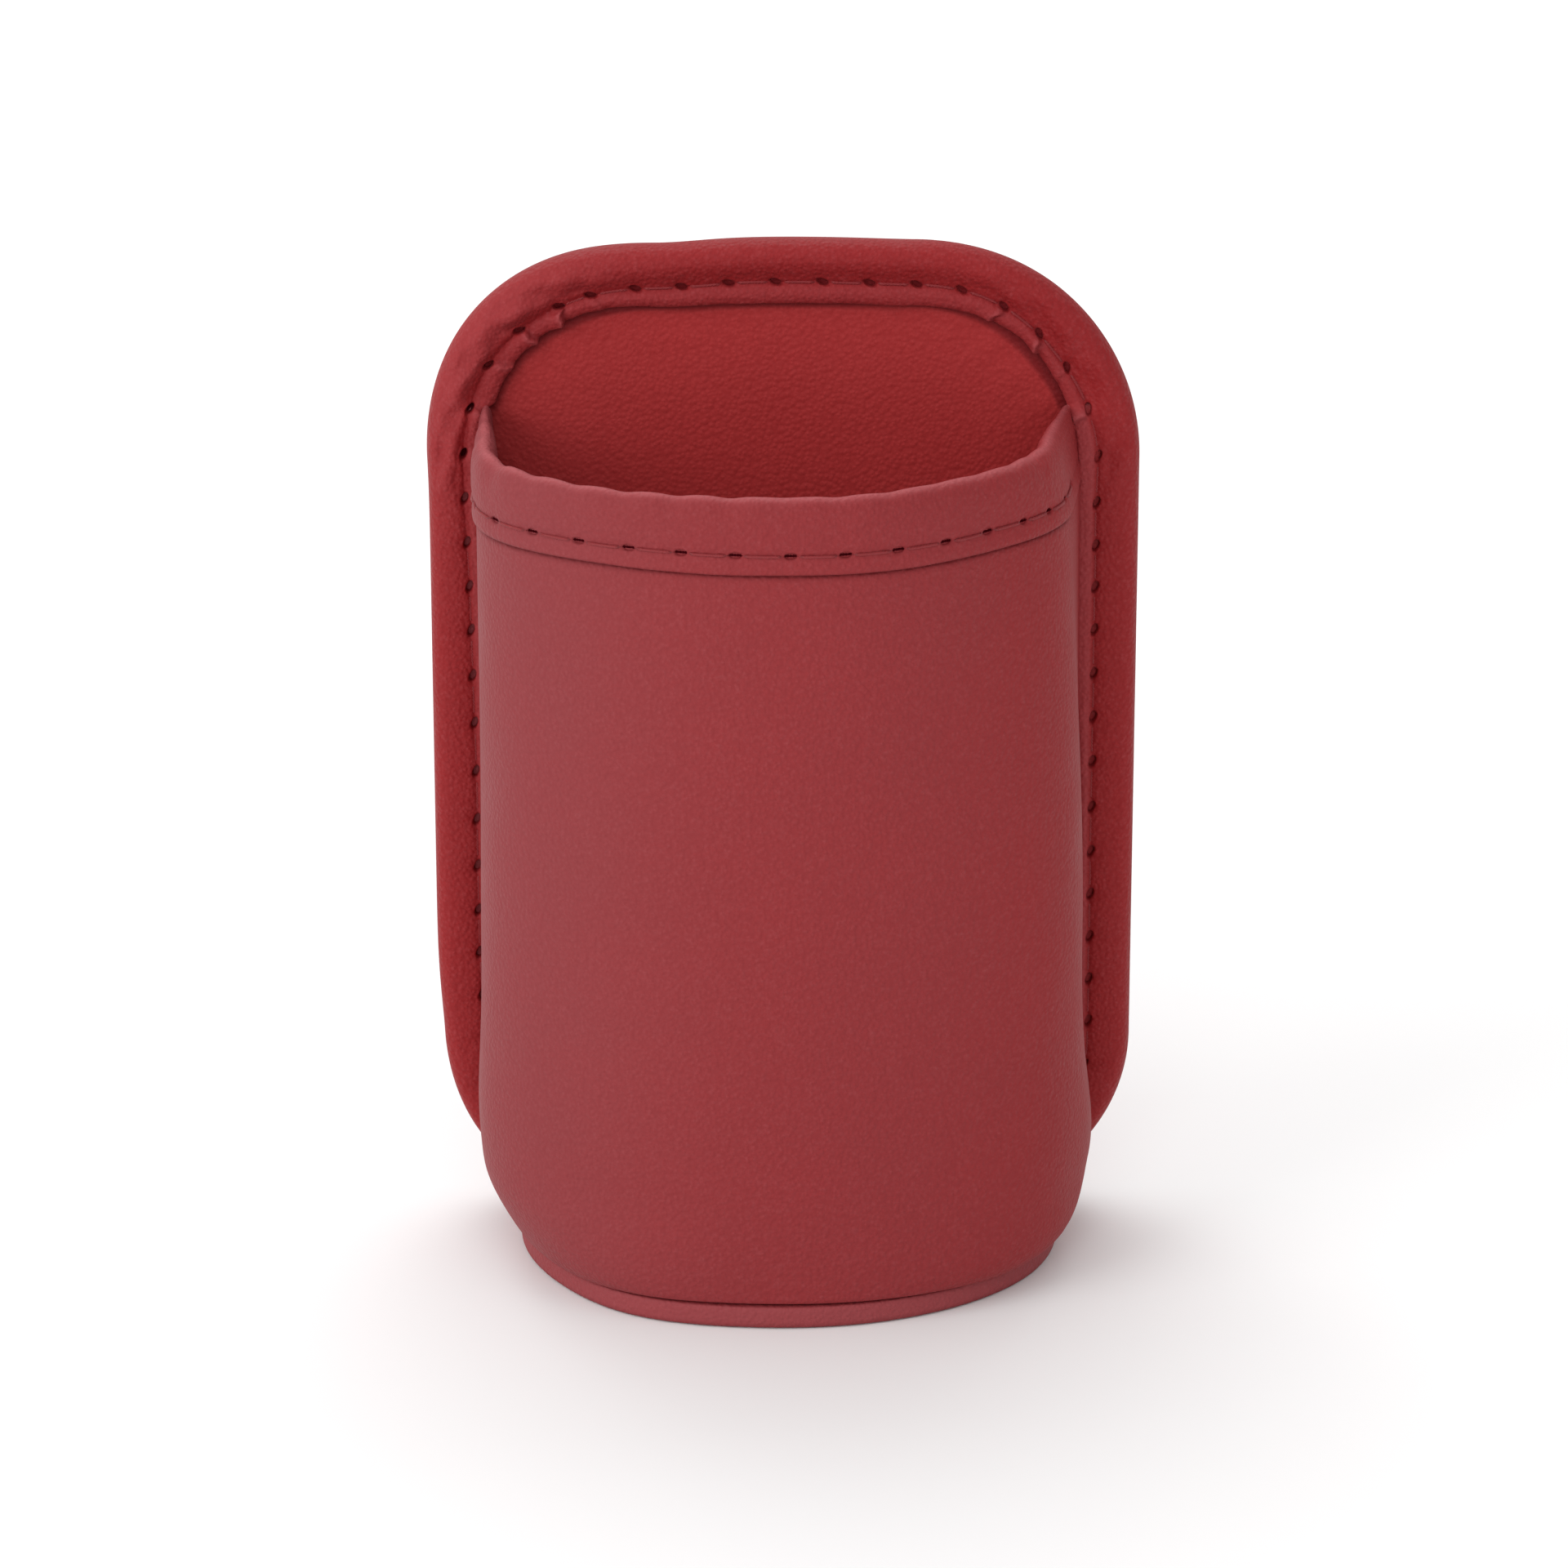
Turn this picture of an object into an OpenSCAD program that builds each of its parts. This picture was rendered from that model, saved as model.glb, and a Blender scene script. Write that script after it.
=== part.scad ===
// Sewn leather cup: a bowed, open-topped pocket on a taller padded back panel.
// Millimetres. Z is up and the pocket opens upwards; the pocket's bow points to -Y.
// The origin is on the surface the cup stands on, under the middle of its outline.

/* [Back panel] */
// Width over the rolled edge
panel_w = 74; // [70:1:80]
// Height over the rolled edge
panel_h = 107.4; // [100:0.2:120]
// Thickness at the rolled edge
panel_t = 6; // [5.8:0.1:7]
// Radius of the two upper corners
top_r = 23.4; // [18:0.2:26]
// Radius of the two lower corners
bottom_r = 19.5; // [16:0.5:22]
// Width of the rolled edge, from its outside to the seam
roll_w = 4.1; // [3.8:0.1:4.6]
// Free strip of cover leather inside the seam, above the rim
strip_w = 2.6; // [2:0.1:3.2]

/* [Pocket] */
// Width over the front panel
pocket_w = 62.4; // [58:0.2:62.4]
// Depth from the rolled edge to the foremost point of the rim binding
pocket_d = 32.1; // [28:0.1:40]
// Height of the rim above the standing surface
rim_z = 90; // [70:0.5:92]
// Depth of the curved front, measured back from its foremost point
bow_d = 19.6; // [18:0.2:22]
// Radius where the curved front turns into the straight sides
bow_side_r = 14; // [12:0.5:16]
// Height of the binding band on the outside of the rim
band_h = 7.8; // [7:0.1:10]
// Drop from the rim to the rim stitches
band_seam_drop = 5.8; // [5:0.1:6.4]

/* [Foot] */
// Thickness of the covered base
base_t = 2.4; // [2:0.1:3.5]
// Width of the covered base
foot_w = 56.4; // [54:0.2:57]
// Depth of the base's curved front
foot_bow_d = 25; // [22:0.5:27]
// Radius where the base's curved front turns into its sides
foot_side_r = 22; // [20:0.5:22]
// Height over which the pocket draws in to the base
draw_in_h = 10.4; // [8:0.2:14]

/* [Materials] */
// Thickness of the cover leather
leather_t = 0.7; // [0.6:0.05:0.8]
// Thickness of the thin leather that lines the pocket and binds the rim
thin_t = 0.5; // [0.4:0.05:0.6]
// Thickness of the board inside the back panel
board_t = 1.5; // [1.2:0.1:1.6]
// Diameter of the sewing thread
thread_d = 0.36; // [0.3:0.02:0.38]
// Distance between stitches round the back panel
panel_pitch = 4.9; // [4:0.1:6]
// Distance between stitches along the rim
rim_pitch = 5.5; // [4:0.1:6]

/* [Hidden] */
$fn = 96;
side_steps = 10;
bow_steps = 20;

// Layers of the back panel, from the cover on the rolled edge to the rear
roll_r = roll_w / 2;
total_d = panel_t + pocket_d;
rear_y = total_d / 2;
roll_y = rear_y - panel_t / 2;
strip_y = rear_y - panel_t;
panel_flange_y = strip_y + leather_t;
lining_flange_y = panel_flange_y + leather_t;
face_y = lining_flange_y + thin_t;
board_y = face_y + leather_t;
foam_y = board_y + board_t;
rear_skin_y = rear_y - leather_t;

// Insets from the outside of the rolled edge
seam_inset = roll_w;
core_inset = roll_w - 0.5;
strip_gap = 0.2;
strip_inset = panel_w / 2 - pocket_w / 2 - strip_gap;
strip_top_inset = seam_inset + strip_w;

// Centres of the back panel's corners
top_x = panel_w / 2 - top_r;
top_z = panel_h - top_r;
low_x = panel_w / 2 - bottom_r;
low_z = bottom_r;

// Pocket wall, outside to inside, as growth of the pocket's outline
half_w = pocket_w / 2;
front_y = -total_d / 2 + thin_t;
board_in = -leather_t;
card_t = 0.5;
lining_in = board_in - card_t;
wall_in = lining_in - thin_t;
flange_w = 2.2;
wall_top_z = rim_z - thin_t;

// Foot of the pocket
groove_h = 0.3;
groove_d = 0.4;
hem_w = 6;
foot_z = base_t + groove_h;
floor_z = base_t + leather_t;
foot_in = half_w - foot_w / 2;
draw_in_r = (draw_in_h * draw_in_h + foot_in * foot_in) / (2 * foot_in);
draw_in_z = foot_z + draw_in_h;

// Seams
thread_r = thread_d / 2;
channel_w = 0.5;
channel_d = 0.4;
stitch_fill = 0.76;
band_seam_z = rim_z - band_seam_drop;
slack = 0.1;

leather_red = [0.56, 0.20, 0.21];
lining_red = [0.50, 0.14, 0.16];
binding_red = [0.60, 0.24, 0.26];
thread_red = [0.42, 0.12, 0.14];
board_grey = [0.62, 0.56, 0.46];
foam_white = [0.86, 0.85, 0.80];

// ---------------------------------------------------------------- outlines

// Draws an x-z outline as a slab between two depths
module slab(from_y, to_y) {
    translate([0, to_y, 0]) rotate([90, 0, 0]) linear_extrude(to_y - from_y) children();
}

// What a rounded corner leaves out of a square one, in the quadrant after a turn
module corner_waste(radius, turn) {
    rotate(turn) difference() {
        square(radius + 1);
        circle(radius);
    }
}

// Outline of the back panel in x-z, inset from the outside of its rolled edge
module panel_outline(inset) {
    difference() {
        translate([inset - panel_w / 2, inset]) square([panel_w - 2 * inset, panel_h - 2 * inset]);
        translate([top_x, top_z]) corner_waste(top_r - inset, 0);
        translate([-top_x, top_z]) corner_waste(top_r - inset, 90);
        translate([-low_x, low_z]) corner_waste(bottom_r - inset, 180);
        translate([low_x, low_z]) corner_waste(bottom_r - inset, 270);
    }
}

// Distance from the line where a bow starts back to the centre of its wide arc
function bow_back(half, depth, side_r) =
    (pow(half - side_r, 2) - pow(depth - side_r, 2)) / (2 * (depth - side_r));

// Points along an arc, without its first
function arc_points(centre, radius, from, to, steps) =
    [for (i = [1 : steps]) let (a = blend(from, to, i / steps)) centre + radius * [cos(a), sin(a)]];

// Plan outline of a bowed box: straight sides, two corner arcs and one wide front arc
function bow_points(half, depth, side_r, grow) =
    let (
        line_y = front_y + depth,
        back = bow_back(half, depth, side_r),
        turn = atan2(back, half - side_r)
    )
    concat(
        [[half + grow, rear_y], [half + grow, line_y]],
        arc_points([half - side_r, line_y], side_r + grow, 0, -turn, side_steps),
        arc_points([0, line_y + back], back + depth + grow, -turn, turn - 180, bow_steps),
        arc_points([side_r - half, line_y], side_r + grow, turn - 180, -180, side_steps),
        [[-half - grow, rear_y]]
    );

module pocket_outline(grow) {
    polygon(bow_points(half_w, bow_d, bow_side_r, grow));
}

module foot_outline(grow) {
    polygon(bow_points(foot_w / 2, foot_bow_d, foot_side_r, grow));
}

// How far the pocket's side is drawn in at a height, as a share of its draw at the foot
function draw_share(z) = z >= draw_in_z ? 0
    : (draw_in_r - sqrt(pow(draw_in_r, 2) - pow(draw_in_z - z, 2))) / foot_in;

function blend(from, to, share) = from + (to - from) * share;

// The pocket's outline at a height, where the side is drawn in by a share
function pocket_ring(z, share, grow) = [
    for (p = bow_points(
        half_w - share * foot_in,
        blend(bow_d, foot_bow_d, min(share, 1)),
        blend(bow_side_r, foot_side_r, min(share, 1)),
        grow
    )) [p.x, p.y, z]
];

// Solid inside the pocket's surface, grown by a wall thickness, running past rim and foot
module pocket_solid(grow) {
    heights = [foot_z - 1.5, foot_z + 1, foot_z + 4, foot_z + 7, draw_in_z, rim_z + 1];
    rings = [for (z = heights) pocket_ring(z, draw_share(z), grow)];
    n = len(rings[0]);
    last = n * (len(rings) - 1);
    polyhedron(
        points = [for (ring = rings) each ring],
        faces = concat(
            [[for (i = [n - 1 : -1 : 0]) i]],
            [for (start = [0 : n : last - 1], i = [0 : n - 1])
                let (a = start + i, b = start + (i + 1) % n)
                each [[b, b + n, a + n], [b, a + n, a]]],
            [[for (i = [0 : n - 1]) last + i]]
        ),
        convexity = 4
    );
}

// Everything in front of a depth and between two heights
module front_room(to_y, from_z, to_z) {
    translate([-panel_w / 2, -total_d, from_z]) cube([panel_w, total_d + to_y, to_z - from_z]);
}

// Layer of the pocket's wall, open at the back and let through the strip's opening
module wall_layer(outer, inner, to_y, from_z, to_z) {
    difference() {
        intersection() {
            difference() {
                pocket_solid(outer);
                pocket_solid(inner);
            }
            front_room(to_y, from_z, to_z);
        }
        slab(strip_y - slack, strip_y + leather_t + slack) difference() {
            translate([-panel_w / 2, 0]) square([panel_w, panel_h]);
            panel_outline(strip_inset + slack);
        }
    }
}

// Flange of a wall layer, lying on the back panel under the cover's strip
module side_flange(inner, from_y, to_y) {
    intersection() {
        difference() {
            pocket_solid(flange_w);
            pocket_solid(inner);
        }
        slab(from_y, to_y) intersection() {
            panel_outline(core_inset);
            translate([-panel_w / 2, floor_z]) square([panel_w, wall_top_z - floor_z]);
        }
    }
}

// ------------------------------------------------------- rolled edge sweep

// Sweeps a section round the back panel. The section's x runs inwards from the outside
// of the edge and its y runs forwards from the middle of the roll.
module edge_run(length, reach) {
    translate([reach, 0, -length / 2]) rotate(180) linear_extrude(length) children();
}

module edge_corner(radius) {
    rotate([90, 0, 0]) rotate_extrude(angle = 90) translate([radius, 0]) mirror([1, 0]) children();
}

module edge_sweep() {
    mid_z = (top_z + low_z) / 2;
    for (turn = [0, 180])
        translate([0, roll_y, mid_z]) rotate([0, turn, 0]) edge_run(top_z - low_z, panel_w / 2) children();
    translate([0, roll_y, top_z]) rotate([0, -90, 0]) edge_run(2 * top_x, top_r) children();
    translate([0, roll_y, low_z]) rotate([0, 90, 0]) edge_run(2 * low_x, bottom_r) children();
    translate([top_x, roll_y, top_z]) edge_corner(top_r) children();
    translate([-top_x, roll_y, top_z]) rotate([0, -90, 0]) edge_corner(top_r) children();
    translate([-low_x, roll_y, low_z]) rotate([0, 180, 0]) edge_corner(bottom_r) children();
    translate([low_x, roll_y, low_z]) rotate([0, 90, 0]) edge_corner(bottom_r) children();
}

// Section of the roll, as wide as the rolled edge less a margin all round
module roll_section(margin) {
    straight = panel_t / 2 - roll_r;
    for (side = [-1, 1]) translate([roll_r, side * straight]) circle(roll_r - margin, $fn = 48);
    translate([margin, -straight]) square([roll_w - 2 * margin, 2 * straight]);
}

// Section of the cover: round the outside of the roll, then inwards as the front strip
module cover_section() {
    difference() {
        roll_section(0);
        roll_section(leather_t);
        translate([roll_r, -panel_t]) square([panel_t, 2 * panel_t]);
    }
    translate([roll_r, panel_t / 2 - leather_t]) square([strip_inset - roll_r, leather_t]);
}

module seam_channel(forward) {
    translate([seam_inset - channel_w / 2, forward]) square([channel_w, channel_d + slack]);
}

// ------------------------------------------------------------------ threads

// One stitch along X, and one bent round the Z axis at a radius
module straight_stitch(length) {
    rotate([0, 90, 0]) cylinder(r = thread_r, h = length, center = true, $fn = 24);
}

module arc_stitch(radius, sweep) {
    rotate(-sweep / 2) rotate_extrude(angle = sweep) translate([radius, 0]) circle(thread_r, $fn = 24);
}

// A row of stitches along X, centred, and a row round an arc from angle 0
module straight_row(length, pitch) {
    count = round(length / pitch);
    step = length / count;
    for (i = [0 : count - 1])
        translate([(i + 0.5) * step - length / 2, 0, 0]) straight_stitch(step * stitch_fill);
}

module arc_row(radius, sweep, pitch) {
    count = round(radius * sweep * PI / 180 / pitch);
    step = sweep / count;
    for (i = [0 : count - 1]) rotate((i + 0.5) * step) arc_stitch(radius, step * stitch_fill);
}

// Stitches all round the back panel at one depth
module panel_seam(y) {
    side_l = top_z - low_z;
    seam_x = panel_w / 2 - seam_inset;
    for (side = [-1, 1])
        translate([side * seam_x, y, (top_z + low_z) / 2]) rotate([0, 90, 0]) straight_row(side_l, panel_pitch);
    translate([0, y, panel_h - seam_inset]) straight_row(2 * top_x, panel_pitch);
    translate([0, y, seam_inset]) straight_row(2 * low_x, panel_pitch);
    for (turn = [0, 90])
        translate([(turn == 0 ? 1 : -1) * top_x, y, top_z]) rotate([90, -turn, 0])
            arc_row(top_r - seam_inset, 90, panel_pitch);
    for (turn = [180, 270])
        translate([(turn == 270 ? 1 : -1) * low_x, y, low_z]) rotate([90, -turn, 0])
            arc_row(bottom_r - seam_inset, 90, panel_pitch);
}

// Stitches along the rim at one growth of the pocket's outline
module rim_seam(grow) {
    line_y = front_y + bow_d;
    back = bow_back(half_w, bow_d, bow_side_r);
    turn = atan2(back, half_w - bow_side_r);
    side_l = strip_y - line_y;
    translate([0, 0, band_seam_z]) {
        for (side = [-1, 1]) {
            translate([side * (half_w + grow), line_y + side_l / 2, 0]) rotate(90)
                straight_row(side_l, rim_pitch);
            translate([side * (half_w - bow_side_r), line_y, 0]) rotate(side > 0 ? -turn : 180)
                arc_row(bow_side_r + grow, turn, rim_pitch);
        }
        translate([0, line_y + back, 0]) rotate(turn - 180)
            arc_row(back + bow_d + grow, 180 - 2 * turn, rim_pitch);
    }
}

// ---------------------------------------------------------------- sub-parts

// Rear leather, wrapped over the rolled edge and turned in as the front strip
module back_cover() {
    color(leather_red) difference() {
        union() {
            edge_sweep() cover_section();
            slab(rear_skin_y, rear_y) panel_outline(roll_r);
            // Above the rim the strip is wider and its edge is folded under
            intersection() {
                union() {
                    slab(strip_y, strip_y + leather_t) difference() {
                        panel_outline(strip_inset - slack);
                        panel_outline(strip_top_inset);
                    }
                    slab(strip_y + leather_t, face_y) difference() {
                        panel_outline(seam_inset);
                        panel_outline(strip_top_inset);
                    }
                }
                translate([-panel_w / 2, 0, rim_z + slack]) cube([panel_w, total_d, panel_h]);
            }
        }
        edge_sweep() seam_channel(panel_t / 2 - channel_d);
        edge_sweep() seam_channel(-panel_t / 2 - slack);
    }
}

// Foam cord that fills the rolled edge
module edge_roll_filler() {
    color(foam_white) edge_sweep() roll_section(leather_t);
}

module back_foam() {
    color(foam_white) slab(foam_y, rear_skin_y) panel_outline(core_inset);
}

module back_board() {
    color(board_grey) slab(board_y, foam_y) panel_outline(core_inset);
}

// Leather face of the back panel, seen above the rim and inside the pocket
module back_lining() {
    color(lining_red) slab(face_y, board_y) panel_outline(core_inset);
}

// Outer leather of the pocket, with sewn side flanges and a hem turned in at the foot
module front_panel() {
    color(leather_red) {
        wall_layer(0, board_in, lining_flange_y, foot_z, wall_top_z);
        side_flange(board_in, panel_flange_y, lining_flange_y);
        translate([0, 0, base_t]) linear_extrude(leather_t) intersection() {
            difference() {
                foot_outline(-groove_d);
                foot_outline(-hem_w);
            }
            translate([-panel_w / 2, -total_d]) square([panel_w, total_d + strip_y - slack]);
        }
    }
}

// Card that holds the pocket's bow
module front_stiffener() {
    color(board_grey)
        wall_layer(board_in, lining_in, lining_flange_y - slack, floor_z + slack, wall_top_z);
}

// Thin leather inside the pocket
module front_lining() {
    color(lining_red) {
        wall_layer(lining_in, wall_in, face_y, floor_z, wall_top_z);
        side_flange(wall_in, lining_flange_y, face_y);
    }
}

// Strip folded over the rim: outside band, top edge and inside band
module rim_binding() {
    outer = thin_t;
    inner = wall_in - thin_t;
    color(binding_red) intersection() {
        difference() {
            translate([0, 0, rim_z - band_h]) linear_extrude(band_h) difference() {
                pocket_outline(outer);
                pocket_outline(inner);
            }
            translate([0, 0, rim_z - band_h - 1]) linear_extrude(band_h + 1 - thin_t) difference() {
                pocket_outline(0);
                pocket_outline(wall_in);
            }
            translate([0, 0, band_seam_z - channel_w / 2]) linear_extrude(channel_w) union() {
                difference() {
                    pocket_outline(outer + slack);
                    pocket_outline(outer - channel_d);
                }
                difference() {
                    pocket_outline(inner + channel_d);
                    pocket_outline(inner - slack);
                }
            }
        }
        front_room(strip_y, 0, rim_z);
    }
}

module rim_needle_thread() {
    color(thread_red) rim_seam(thin_t - channel_d / 2);
}

module rim_bobbin_thread() {
    color(thread_red) rim_seam(wall_in - thin_t + channel_d / 2);
}

module panel_needle_thread() {
    color(thread_red) panel_seam(strip_y + channel_d / 2);
}

module panel_bobbin_thread() {
    color(thread_red) panel_seam(rear_y - channel_d / 2);
}

// Leather tray round the base board
module base_cover() {
    color(leather_red) difference() {
        base_plate(0, 0, base_t);
        base_plate(-leather_t, leather_t, base_t + 1);
    }
}

module base_board() {
    color(board_grey) base_plate(-leather_t, leather_t, base_t);
}

module base_plate(grow, from_z, to_z) {
    translate([0, 0, from_z]) linear_extrude(to_z - from_z) intersection() {
        foot_outline(grow);
        translate([-panel_w / 2, -total_d]) square([panel_w, total_d + strip_y - slack + min(grow, 0)]);
    }
}

// Leather floor of the pocket
module base_lining() {
    color(lining_red) base_plate(wall_in - slack, floor_z, floor_z + thin_t);
}

back_cover();
edge_roll_filler();
back_foam();
back_board();
back_lining();
front_panel();
front_stiffener();
front_lining();
rim_binding();
rim_needle_thread();
rim_bobbin_thread();
panel_needle_thread();
panel_bobbin_thread();
base_cover();
base_board();
base_lining();
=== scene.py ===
"""Leather cup: a bowed pocket sewn to a padded back panel with a rolled edge.

Shapes are worked out in millimetres in the frame of the CAD model and made in metres.
x runs to the right, y to the rear and z up.
"""
import math

import bpy
import numpy as np
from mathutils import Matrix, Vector


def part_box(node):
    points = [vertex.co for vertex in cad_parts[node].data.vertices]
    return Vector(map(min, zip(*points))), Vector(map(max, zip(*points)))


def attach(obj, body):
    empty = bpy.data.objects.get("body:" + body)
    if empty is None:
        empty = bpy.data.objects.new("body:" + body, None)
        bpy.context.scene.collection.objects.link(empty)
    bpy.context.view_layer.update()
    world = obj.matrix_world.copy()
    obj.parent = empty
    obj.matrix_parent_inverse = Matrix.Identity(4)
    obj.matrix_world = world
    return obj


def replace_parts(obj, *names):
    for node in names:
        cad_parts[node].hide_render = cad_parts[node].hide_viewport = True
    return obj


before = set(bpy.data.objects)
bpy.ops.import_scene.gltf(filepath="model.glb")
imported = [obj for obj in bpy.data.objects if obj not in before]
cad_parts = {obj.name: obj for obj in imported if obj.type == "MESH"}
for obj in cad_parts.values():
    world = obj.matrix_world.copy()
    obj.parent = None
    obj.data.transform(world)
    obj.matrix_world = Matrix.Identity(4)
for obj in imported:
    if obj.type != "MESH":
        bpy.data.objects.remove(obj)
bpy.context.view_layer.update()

MM = 0.001


def node_size(node):
    """Lowest and highest corners of a CAD node, in millimetres."""
    low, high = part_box(node)
    return np.array(low) / MM, np.array(high) / MM


# ---- dimensions

PANEL_LOW, PANEL_HIGH = node_size("back_cover")
HALF_W = PANEL_HIGH[0]
PANEL_H = PANEL_HIGH[2]
REAR_Y = PANEL_HIGH[1]
ROLL_Y = (PANEL_LOW[1] + PANEL_HIGH[1]) / 2  # middle of the rolled edge
ROLL_HALF = REAR_Y - ROLL_Y
TOP_R = 23.4  # radius of the panel's top corners
LOW_R = 19.5
SEAM_INSET = 4.1
STRIP_INSET = 6.7  # free edge of the strip above the rim
LEATHER_T = 0.7
CORE_INSET = HALF_W - node_size("back_board")[1][0]
BOARD_W = ROLL_Y - node_size("back_board")[0][1]  # front of the board, forward of ROLL_Y

RIM_Z = node_size("rim_binding")[1][2]
FRONT_Y = node_size("front_panel")[0][1]
POCKET_HALF = 31.2  # half the pocket's width
BOW_D = 19.6  # depth of the pocket's bowed front
BOW_R = 14.0  # radius where the front turns to the side
FOOT_Z = 2.7
FOOT_HALF = node_size("base_cover")[1][0]
BASE_REAR = node_size("base_cover")[1][1]

PANEL_PITCH = 4.84  # from stitch to stitch
RIM_PITCH = 5.5
RIM_PHASE = 0.9  # from the front's middle to the first rim stitch
RIM_SEAM_Z = 84.2
FLANGE = 2.0  # width of the pocket's sewn side flange
BASE_LINING_INSET = 1.85


# ---- small tools


def step(low, high, x):
    """Smooth step from 0 at low to 1 at high."""
    t = np.clip((np.asarray(x, float) - low) / (high - low), 0, 1)
    return t * t * (3 - 2 * t)


def between(a, b, c, d, x):
    """1 from b to c and 0 outside a and d, with smooth ends."""
    return step(a, b, x) * (1 - step(c, d, x))


def bell(x, width):
    """Smooth bump of height 1 at 0."""
    return np.exp(-((np.asarray(x, float) / width) ** 2))


def swells(s, *spots):
    """Soft rises and dips along a line, each given as its middle, width and size."""
    return sum(size * bell(s - middle, width) for middle, width, size in spots)


def mix(a, b, share):
    """From a to b by a share."""
    return a + (b - a) * share


def uneven(k, seed):
    """A number from -1 to 1 that stays the same for the same stitch."""
    k = np.asarray(k, float)
    return np.sin(k * 12.9898 + seed * 78.233) * np.cos(k * 4.1414 + seed * 3.17)


def wander(s, wave, seed):
    """Slow irregular change along a line, about -1 to 1."""
    turns = 2 * np.pi * np.asarray(s, float) / wave
    waves = ((0.5, 1.0, 1.0), (0.3, 0.57, 2.3), (0.2, 0.31, 4.1))
    return sum(size * np.sin(turns / long + seed * shift) for size, long, shift in waves)


def close_at_ends(t):
    """Moves even shares from 0 to 1 closer together at both ends."""
    return t - 0.115 * np.sin(2 * np.pi * t)


def smooth_line(points, per):
    """Catmull-Rom curve through the points, with per samples between neighbours."""
    p = np.array(points, float)
    ends = np.vstack([2 * p[0] - p[1], p, 2 * p[-1] - p[-2]])
    t = np.linspace(0, 1, per, endpoint=False)[:, None]
    parts = []
    for a, b, c, d in zip(ends[:-3], ends[1:-2], ends[2:-1], ends[3:]):
        curve = 2 * b + (c - a) * t + (2 * a - 5 * b + 4 * c - d) * t**2
        parts.append(0.5 * (curve + (3 * b - a - 3 * c + d) * t**3))
    return np.vstack(parts + [p[-1:]])


def grid_faces(rows, cols, close_rows=False, close_cols=False):
    """Four-sided faces of a grid of points."""
    r = np.arange(rows if close_rows else rows - 1)
    c = np.arange(cols if close_cols else cols - 1)
    a = r[:, None] * cols + c
    b = r[:, None] * cols + (c + 1) % cols
    down = ((r + 1) % rows)[:, None] * cols
    return np.stack([a, b, down + (c + 1) % cols, down + c], axis=-1).reshape(-1, 4)


def welded(points, faces):
    """Joins points in the same place and drops the faces that this closes up."""
    places, where = np.unique(np.round(points, 5), axis=0, return_inverse=True)
    where = where.reshape(-1)
    first = np.zeros(len(places), int)
    first[where[::-1]] = np.arange(len(points))[::-1]
    kept = []
    for face in faces:
        ring = [int(where[i]) for i in face]
        ring = [v for i, v in enumerate(ring) if v != ring[i - 1]]
        if len(ring) > 2 and len(set(ring)) == len(ring):
            kept.append(ring)
    return places, kept, first


def volume(points, faces):
    """Volume inside the faces, negative where they face inwards."""
    total = 0.0
    by_length = {}
    for face in faces:
        by_length.setdefault(len(face), []).append(face)
    for group in by_length.values():
        ring = points[np.array(group)]
        for i in range(1, ring.shape[1] - 1):
            total += (ring[:, 0] * np.cross(ring[:, i], ring[:, i + 1])).sum()
    return total / 6


def holes_among(faces, shade):
    """1 for each face that lies wholly inside a stitch hole, 0 for the others."""
    return [int(max(shade[v] for v in ring) < DEEP_SHADE) for ring in faces]


def add_object(name, data):
    """Adds an object to the scene."""
    added = bpy.data.objects.new(name, data)
    bpy.context.scene.collection.objects.link(added)
    return added


def make_piece(name, points, faces, material, shade=None, painted_light=None, painted_sheen=None):
    """A piece of the object from points in millimetres, riding on the root body.

    shade is painted shade: it darkens a point, from 1 for the plain surface to 0 deep in
    a hole or crease. The other two add painted light and a pale veil of painted sheen,
    both from 0 to 1.
    """
    points = np.asarray(points, float).reshape(-1, 3)
    places, kept, first = welded(points, faces)
    if volume(places, kept) < 0:
        kept = [ring[::-1] for ring in kept]
    mesh = bpy.data.meshes.new(name)
    mesh.from_pydata((places * MM).tolist(), [], kept)
    mesh.shade_smooth()
    for label, values, plain in (("shade", shade, 1.0), ("painted_light", painted_light, 0.0), ("painted_sheen", painted_sheen, 0.0)):
        if values is None:
            values = np.full(len(points), plain)
        values = np.asarray(values, np.float32).reshape(-1)[first]
        mesh.attributes.new(label, "FLOAT", "POINT").data.foreach_set("value", values)
        if label == "shade":
            in_hole = holes_among(kept, values)
    mesh.materials.append(material)
    # Faces inside the holes take the material of painted hole shade
    if any(in_hole):
        mesh.materials.append(HOLE_SHADE)
        mesh.polygons.foreach_set("material_index", in_hole)
    piece = add_object(name, mesh)
    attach(piece, "root")
    return piece


def ring_piece(name, rows, material, close_rows=False, **looks):
    """A piece whose rows of points are closed rings, one inside the next."""
    faces = grid_faces(len(rows), len(rows[0]), close_rows, close_cols=True).tolist()
    return make_piece(name, rows, faces, material, **looks)


# ---- materials


def put(value, socket):
    """Feeds a socket from another node's result, or sets it to a number or a colour."""
    if isinstance(value, bpy.types.NodeSocket):
        socket.id_data.links.new(value, socket)
    elif socket.type == "RGBA":
        socket.default_value = (*value, 1)
    else:
        socket.default_value = value


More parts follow.
